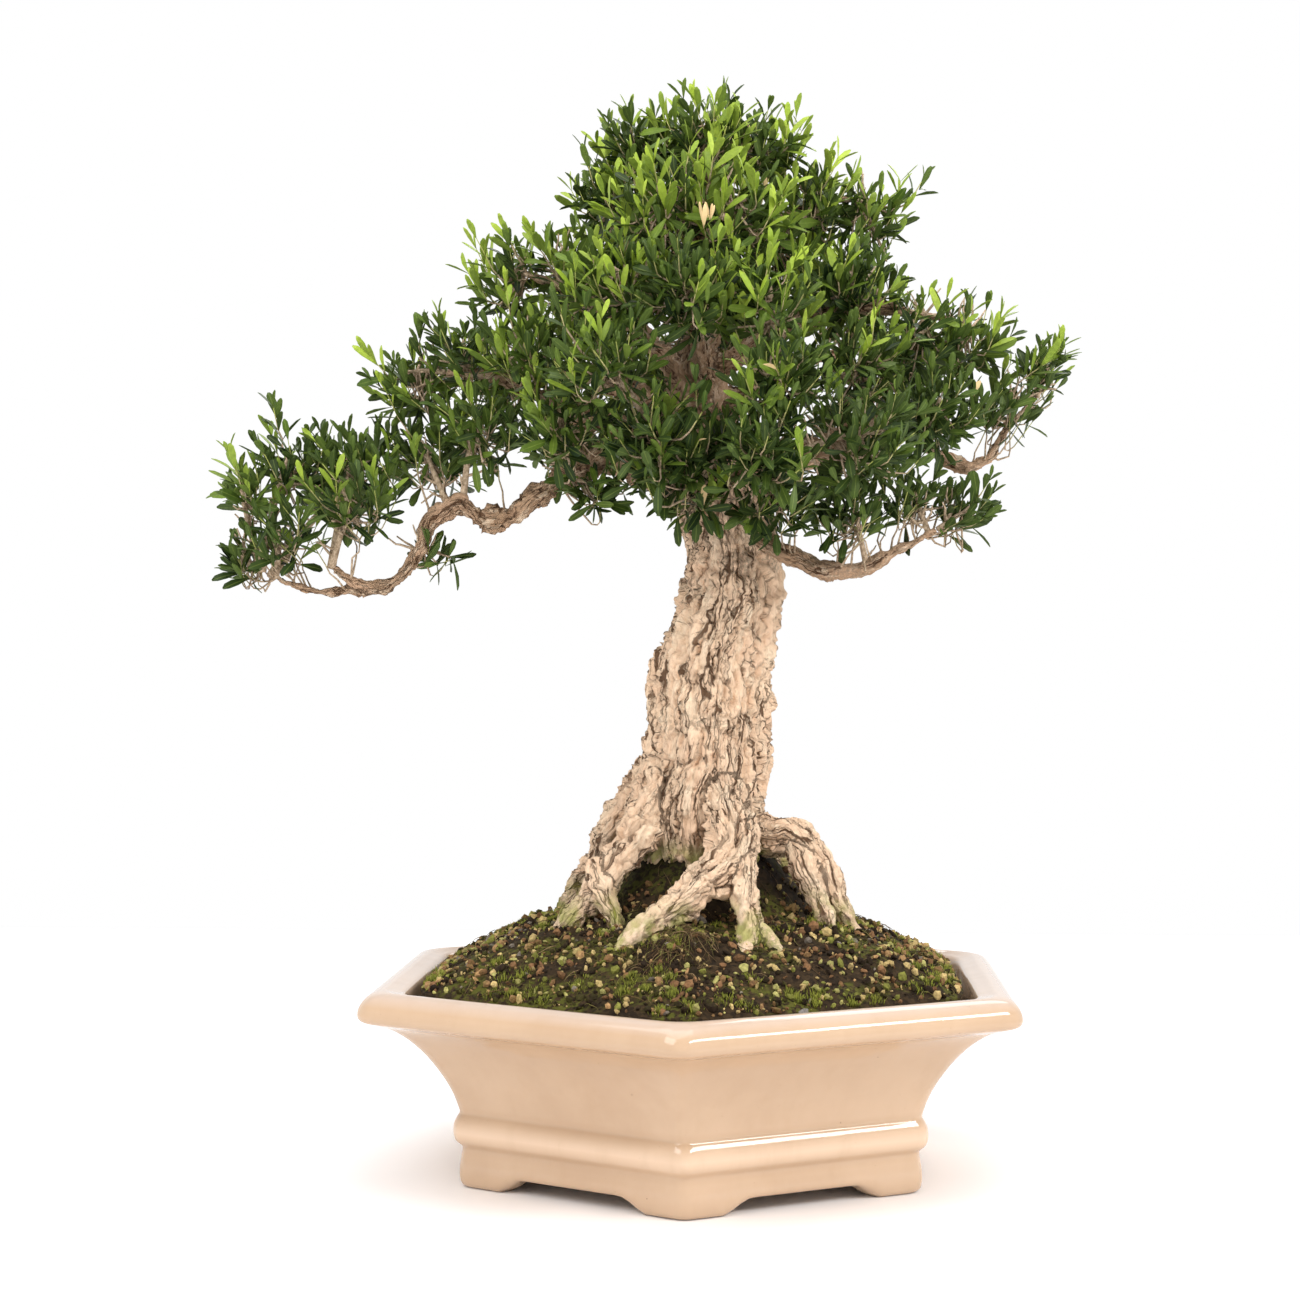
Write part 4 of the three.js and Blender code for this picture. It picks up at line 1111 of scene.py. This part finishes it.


# Youth runs from dark old leaves to bright new ones, and carries painted light and shade: darker deep in the
# crown and low down, brighter high up and on leaves that point upwards; the midrib is pale, and so is the
# underside
def leafMaterial():
    green = Finish("Boxwood leaf")
    youthAndLight, tone, dry = green.parts(green.attribute("leafTone"))
    sideways, along, upward = green.add("SeparateXYZ", {"Vector": green.attribute("leafPlace", "Vector")})
    old = green.mix(tone, (0.007, 0.017, 0.006), (0.036, 0.062, 0.012))
    middle = green.mix(tone, (0.066, 0.118, 0.014), (0.155, 0.230, 0.026))
    fresh = green.mix(tone, (0.25, 0.36, 0.030), (0.43, 0.55, 0.065))
    green.colour = green.mix(green.ranged(youthAndLight, 0.0, 0.5), old, middle)
    green.coat(green.ranged(youthAndLight, 0.5, 1.0), fresh)
    green.coat(green.ranged(green.maths("ABSOLUTE", sideways), 0.03, 0.16, 0.30, 0.0), (0.30, 0.38, 0.08))
    green.coat(green.ranged(upward, -0.02, -0.2, 0.0, 0.35), (0.14, 0.20, 0.055))
    green.coat(green.ranged(along, 0.0, 0.18, 0.4, 0.0), (0.36, 0.37, 0.12))
    green.blotch(green.place, 420.0, 0.35, 0.7, (0.02, 0.045, 0.008), 0.25)
    green.coat(dry, (0.80, 0.58, 0.30))
    rough = green.ranged(upward, -0.1, 0.1, 0.65, 0.40)
    sheen = {"Roughness": rough, "Specular IOR Level": 0.2, "Specular Tint": (0.86, 0.93, 0.66)}
    return green.done(sheen, (green.noise(green.place, 900.0, 3.0), 0.25, 0.0004))


crown = {
    "middle": (8.0, 10.0, 470.0),
    "shoots": 23,  # on a spray of the usual reach
    "usualReach": 29,
    "shootLength": 36.0,
    "shootPoints": 8,
    "longOnes": (0.14, 16),  # share of shoots that stand out, and by how much
    "way": {"up": 0.95, "ball": 0.42, "out": 0.38, "scatter": 0.26},  # what turns a shoot
    "pairs": 5,
    "leafy": 0.40,  # share of a shoot below its first leaves
    "spread": (58, 20),  # degrees between leaf and shoot, at its foot and its tip
    "inside": ("veil", "hollow"),  # sprays that fill the crown and stand for no node
    "core": 125.0,
    "fill": 0.24,
    "flatFrom": 668,  # height above which tips are pressed down
    "flatBy": 0.65,
    "room": ((-294.0, -212.0, 0.0), (236.0, 212.0, 686.0)),
    "sunny": (-0.45, 0.0, 0.89),  # the side of the crown that has the newest growth
    "groups": {
        "foliageLeft": ["lowerLeft", "lowRunner", "middleLeft", "shoulderLeft"],
        "foliageTop": ["topLeft", "leader", "topRight", "frontUpper", "rightUpper"],
        "foliageFront": ["rightMiddle", "rightLower", "frontMiddle", "frontRight", "frontLower", "veil"],
        "foliageBack": ["backUpper", "backRight", "backLeft", "backLow", "hollow"]},
    "dried": [(7.0, -104.0, 593.0, 1.0, 4), (4.0, -104.0, 588.0, 1.0, 3), (-27.0, -64.0, 438.0, -1.0, 2)],
}


def nearestOf(run, points):
    return run[np.argmin(np.linalg.norm(points[:, None] - run[None], axis=2), axis=1)]


# The shoots of one spray. Their tips fill a ball about the spray's middle, by the golden angle on
# shells of random depth; each shoot leaves the spray's stem, bends at a knee and rises to its tip
# along up, out from the ball's middle and out from the crown, as a curve of the second degree
def growSpray(run, spray, rng):
    centre, reach = np.array(spray[:3], float), spray[3]
    middle = np.array(crown["middle"])
    fork = nearestOf(run, (centre - up * reach * 0.6)[None])[0]
    count = max(int(round((reach / crown["usualReach"]) ** 2 * crown["shoots"])), 3)
    k = np.arange(count)
    z = 1 - 2 * (k + 0.5) / count
    extra = 0
    if np.linalg.norm(centre[:2] - middle[:2]) < crown["core"]:
        extra = int(count * crown["fill"])
        k, z = np.append(k, np.arange(extra)), np.append(z, rng.uniform(-0.6, 0.9, extra))
    inner = np.arange(count + extra)[:, None] >= count
    count += extra
    angle = k * math.pi * (3 - math.sqrt(5)) + rng.uniform(0, 6)
    ball = np.column_stack([np.sqrt(1 - z * z) * np.cos(angle), np.sqrt(1 - z * z) * np.sin(angle), z])
    outward = unit(centre - middle)
    depth = rng.uniform(0.04, 1.0, (count, 1)) ** 0.42 * np.where(inner, 0.75, 1.0)
    way = crown["way"]
    ways = unit(way["up"] * up + way["ball"] * ball + way["out"] * outward
                + rng.normal(0, way["scatter"], ball.shape))
    low = np.where(z < 0, 0.5 + 0.4 * smoothStep(440, 465, centre[2]), 0.92)
    swell = np.column_stack([np.full((count, 2), 1.12), low])
    tips = centre - inner * outward * reach * 0.45 + ball * depth * reach * swell - up * 4
    share, longer = crown["longOnes"]
    tips = tips + ways * longer * (rng.random((count, 1)) < share)
    flat = crown["flatFrom"]
    tips[:, 2] = np.minimum(tips[:, 2], flat + (tips[:, 2] - flat) * crown["flatBy"])
    tips = np.clip(tips, *crown["room"])
    length = crown["shootLength"] * rng.uniform(0.7, 1.25, (count, 1)) * min(reach / 24, 1)
    knees = tips - ways * length + rng.normal(0, 2.0, ball.shape)
    near = max(0.1, 1 - 26 / np.linalg.norm(centre - fork))
    starts = fork + (centre - fork) * rng.uniform(near, 0.95, (count, 1))
    close = nearestOf(run, knees - up * 0.35 * reach)
    onLimb = (np.linalg.norm(close - tips, axis=1) < 1.7 * reach) & (rng.random(count) < 0.5)
    starts = np.where(onLimb[:, None], close, starts)
    s = np.linspace(0, 1, crown["shootPoints"])[:, None]
    paths = (1 - s) ** 2 * starts[:, None] + 2 * s * (1 - s) * knees[:, None] + s * s * tips[:, None]
    bend = rng.normal(0, 1.5, (count, 1, 3)) + rng.normal(0, 0.7, paths.shape)
    paths = paths + bend * np.sin(s * math.pi)
    stem = fork + (centre - fork) * s + rng.normal(0, 1.6, 3) * np.sin(s * math.pi)
    height = smoothStep(430, 640, centre[2])
    sunny = outward @ np.array(crown["sunny"])
    inner, depth = inner[:, 0], depth[:, 0]
    # news is the share of fresh shoots; light is painted light and shade: less deep inside a spray, on its
    # lower side, on low sprays and on the inner fill, more high up
    news = np.clip(0.10 + 0.30 * sunny + 0.26 * height + 0.5 * (depth - 0.7), 0.04, 0.7)
    light = depth * np.clip(0.47 + 0.26 * z + 0.66 * height, 0, 1.1)
    return paths, stem, news * np.where(inner, 0.1, 1.0), light * np.where(inner, 0.3, 1.0)


# Leaves on shoots: opposite pairs, each pair a quarter turn on from the last, wide open low on the
# shoot and closing towards its tip; their upper sides face the tip and the light
def leavesOnShoots(paths, rng):
    count, pairs = len(paths), crown["pairs"]
    age = np.linspace(0.0, 1.0, pairs)
    index = (crown["leafy"] + (1 - crown["leafy"]) * age) * (paths.shape[1] - 1)
    low = np.minimum(index.astype(int), paths.shape[1] - 2)
    part = (index - low)[:, None]
    node = paths[:, low] * (1 - part) + paths[:, low + 1] * part
    along = unit(paths[:, low + 1] - paths[:, low])
    helper = unit(rng.normal(size=(count, 1, 3)))
    side = unit(np.cross(along, np.broadcast_to(helper, along.shape)))
    around = (np.arange(pairs) * math.pi / 2)[:, None] + rng.normal(0, 0.25, (count, pairs, 1))
    out = side * np.cos(around) + np.cross(along, side) * np.sin(around)
    spread = np.radians(np.linspace(*crown["spread"], pairs))[:, None]
    spread = spread + rng.normal(0, 0.18, (count, pairs, 1))
    blades = []
    for sign in (1, -1):
        heading = unit(along * np.cos(spread) + sign * out * np.sin(spread) + 0.10 * up)
        face = along * np.sin(spread) - sign * out * np.cos(spread) + 0.35 * up
        face = face + rng.normal(0, 0.28, out.shape)
        blades.append((node, heading, face, np.broadcast_to(age[:, None], (count, pairs, 1))))
    return [np.stack(part, axis=1).reshape(-1, part[0].shape[-1]) for part in zip(*blades)]


# The leaves of one spray as the values of leafBlades, and their tones: youth with painted light and shade in
# it, a random tone and dryness
def sprayLeaves(spray, paths, news, light, rng):
    base, heading, face, age = leavesOnShoots(paths, rng)
    age = age[:, 0]
    count, perShoot = len(base), 2 * crown["pairs"]
    fresh = np.repeat(rng.random(len(paths)) < news, perShoot)
    # Painted light: leaves that point upwards are brighter
    litFromAbove = np.clip(0.55 + 0.45 * heading[:, 2], 0, 1)
    youthAndLight = np.where(fresh, 0.34 + 0.74 * smoothStep(0.0, 0.8, age) * litFromAbove, 0.01 + 0.29 * age * litFromAbove)
    youthAndLight = youthAndLight * (0.35 + 0.75 * np.repeat(light, perShoot)) + rng.normal(0, 0.09, count)
    length = leaf["length"] * (1 - 0.32 * smoothStep(0.6, 1.0, age)) * rng.uniform(0.76, 1.14, count)
    length = length * np.where(fresh, 1.08, 0.92)
    width = length * leaf["slimness"] * rng.uniform(0.85, 1.15, count) * np.where(fresh, 0.9, 1.06)
    arch = rng.uniform(-0.02, 0.22, count)
    above = (base[:, 2] - spray[2]) / spray[3] + 0.3 * (spray[2] > 445)
    kept = rng.random(count) < (0.66 + 0.33 * age) * smoothStep(-0.95, -0.5, above)
    tone = np.stack([np.clip(youthAndLight, 0, 1), rng.random(count), (rng.random(count) < 0.0012) * 0.9], axis=1)
    return [values[kept] for values in (base, heading, face, length, width, arch)], tone[kept]


# Dried leaves: a few together, spread as a fan from one point, up or hanging down
def driedLeaves(rng):
    parts = []
    for x, y, z, sign, count in crown["dried"]:
        base = np.array([x, y, z]) + rng.normal(0, 0.8, (count, 3))
        heading = unit(rng.normal(0, 0.30, (count, 3)) * np.array([1.0, 1.0, 0.2]) + sign * up)
        face = np.array([0.0, -1.0, 0.15]) + rng.normal(0, 0.4, (count, 3))
        length = rng.uniform(9, 17, count)
        parts.append([base, heading, face, length, length * rng.uniform(0.15, 0.22, count),
                      rng.uniform(-0.2, 0.3, count)])
    dry = [np.concatenate(values) for values in zip(*parts)]
    count = len(dry[0])
    return dry, np.stack([np.zeros(count), rng.random(count), rng.uniform(0.85, 1.0, count)], axis=1)


def addFoliage():
    material = leafMaterial()
    shootPaths, stems = [], []
    run = np.vstack([smoothLine(path, 8)[:, :3] for path, _ in limbs.values()])
    seed = 100
    for group, members in crown["groups"].items():
        made, stands = [], []
        for name in members:
            node = "".join("_" + letter.lower() if letter.isupper() else letter for letter in name)
            for number, spray in enumerate(limbs[name][1], 1):
                seed += 1
                rng = np.random.default_rng(seed)
                paths, stem, news, light = growSpray(run, spray, rng)
                shootPaths.append(paths)
                stems.append(stem)
                made.append(sprayLeaves(spray, paths, news, light, rng))
                if name not in crown["inside"]:
                    stands.append(f"spray_{node}_{number}")
        if group == "foliageFront":
            made.append(driedLeaves(rng))
        parts, tones = zip(*made)
        leaves = [np.concatenate(values) for values in zip(*parts)]
        addPiece(group, leafMesh(group, leaves, np.concatenate(tones)), material, stands)
        print(group, "made with", len(leaves[0]), "leaves")
    return np.concatenate(shootPaths), np.array(stems)


twig = {
    "kept": [0, 1, 3, 4, 5, 7],  # points of a path that its tube uses
    "barePerSpray": 8,
    "bareLength": (10.0, 24.0),
    "shoots": (0.95, 0.32, 3),  # radius at the foot and at the tip, and sides
    "stems": (2.4, 1.1, 6),
    "bare": (1.2, 0.5, 4),
}


# Twigs: the green-tipped shoots, the woody stem of every spray, and bare twiglets that leave the
# stems at random and wander
def addTwigs(shoots, stems):
    rng = np.random.default_rng(77)
    s = np.linspace(0, 1, stems.shape[1])
    kept = np.array(twig["kept"])
    count = len(stems) * twig["barePerSpray"]
    parents = np.repeat(np.arange(len(stems)), twig["barePerSpray"])
    index = rng.integers(1, stems.shape[1] - 2, count)
    ways = unit(rng.normal(0, 1, (count, 3)) + 1.3 * up)
    reach = rng.uniform(*twig["bareLength"], count)[:, None, None]
    bare = stems[parents, index][:, None] + ways[:, None] * reach * s[:, None]
    bare = bare + np.cumsum(rng.normal(0, 0.6, bare.shape) * (s > 0)[:, None], axis=1)
    tubes, tones = [], []
    for key, lines in (("shoots", shoots), ("stems", stems), ("bare", bare)):
        thick, thin, sides = twig[key]
        span = np.linalg.norm(lines[:, -1] - lines[:, 0], axis=1)[:, None]
        radii = (thick + (thin - thick) * s)[None] * np.clip(0.7 + span / 130, 0.9, 1.4)
        tubes.append(thinTubes(lines[:, kept], radii[:, kept], sides))
        tones.append(np.tile(np.repeat(s[kept] * (key == "shoots"), sides), len(lines)))
    mesh = joined("twigs", tubes)
    addLayer(mesh, "twigTone", np.concatenate(tones), "FLOAT")
    skin = Finish("Twig bark")
    noise = skin.use(patches, skin.place, 500.0, 0.35, 0.65)
    skin.colour = skin.mix(noise["Mask"], (0.60, 0.46, 0.32), (0.31, 0.22, 0.14))
    skin.coat(skin.ranged(skin.attribute("twigTone", "Fac"), 0.6, 0.95, 0.0, 0.9), (0.33, 0.37, 0.08))
    material = skin.done({"Roughness": 0.8, "Specular IOR Level": 0.15}, (noise["Noise"], 0.7, 0.0006))
    addPiece("twigs", mesh, material)
    print("twigs made with", len(mesh.polygons), "faces")


addTwigs(*addFoliage())
print("foliage and twigs made")


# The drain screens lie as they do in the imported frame, in black plastic mesh with a dull mould skin
def dressScreens():
    plastic = Finish("Screen plastic")
    skin = plastic.use(patches, plastic.place, 300.0, 0.4, 0.6)
    plastic.colour = plastic.mix(skin["Mask"], (0.020, 0.021, 0.022), (0.045, 0.042, 0.038))
    plastic.blotch(plastic.place, 55.0, 0.5, 0.68, (0.16, 0.11, 0.07), 0.4)
    rough = plastic.ranged(skin["Noise"], 0.3, 0.7, 0.42, 0.6)
    material = plastic.done({"Roughness": rough}, (skin["Noise"], 0.3, 0.0003))
    for name in ("drain_screen_1", "drain_screen_2"):
        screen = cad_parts[name]
        screen.data.materials.clear()
        screen.data.materials.append(material)


dressScreens()

added = [piece.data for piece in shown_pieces() if piece.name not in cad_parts]
print("triangles added:", sum(len(mesh.loops) - 2 * len(mesh.polygons) for mesh in added))
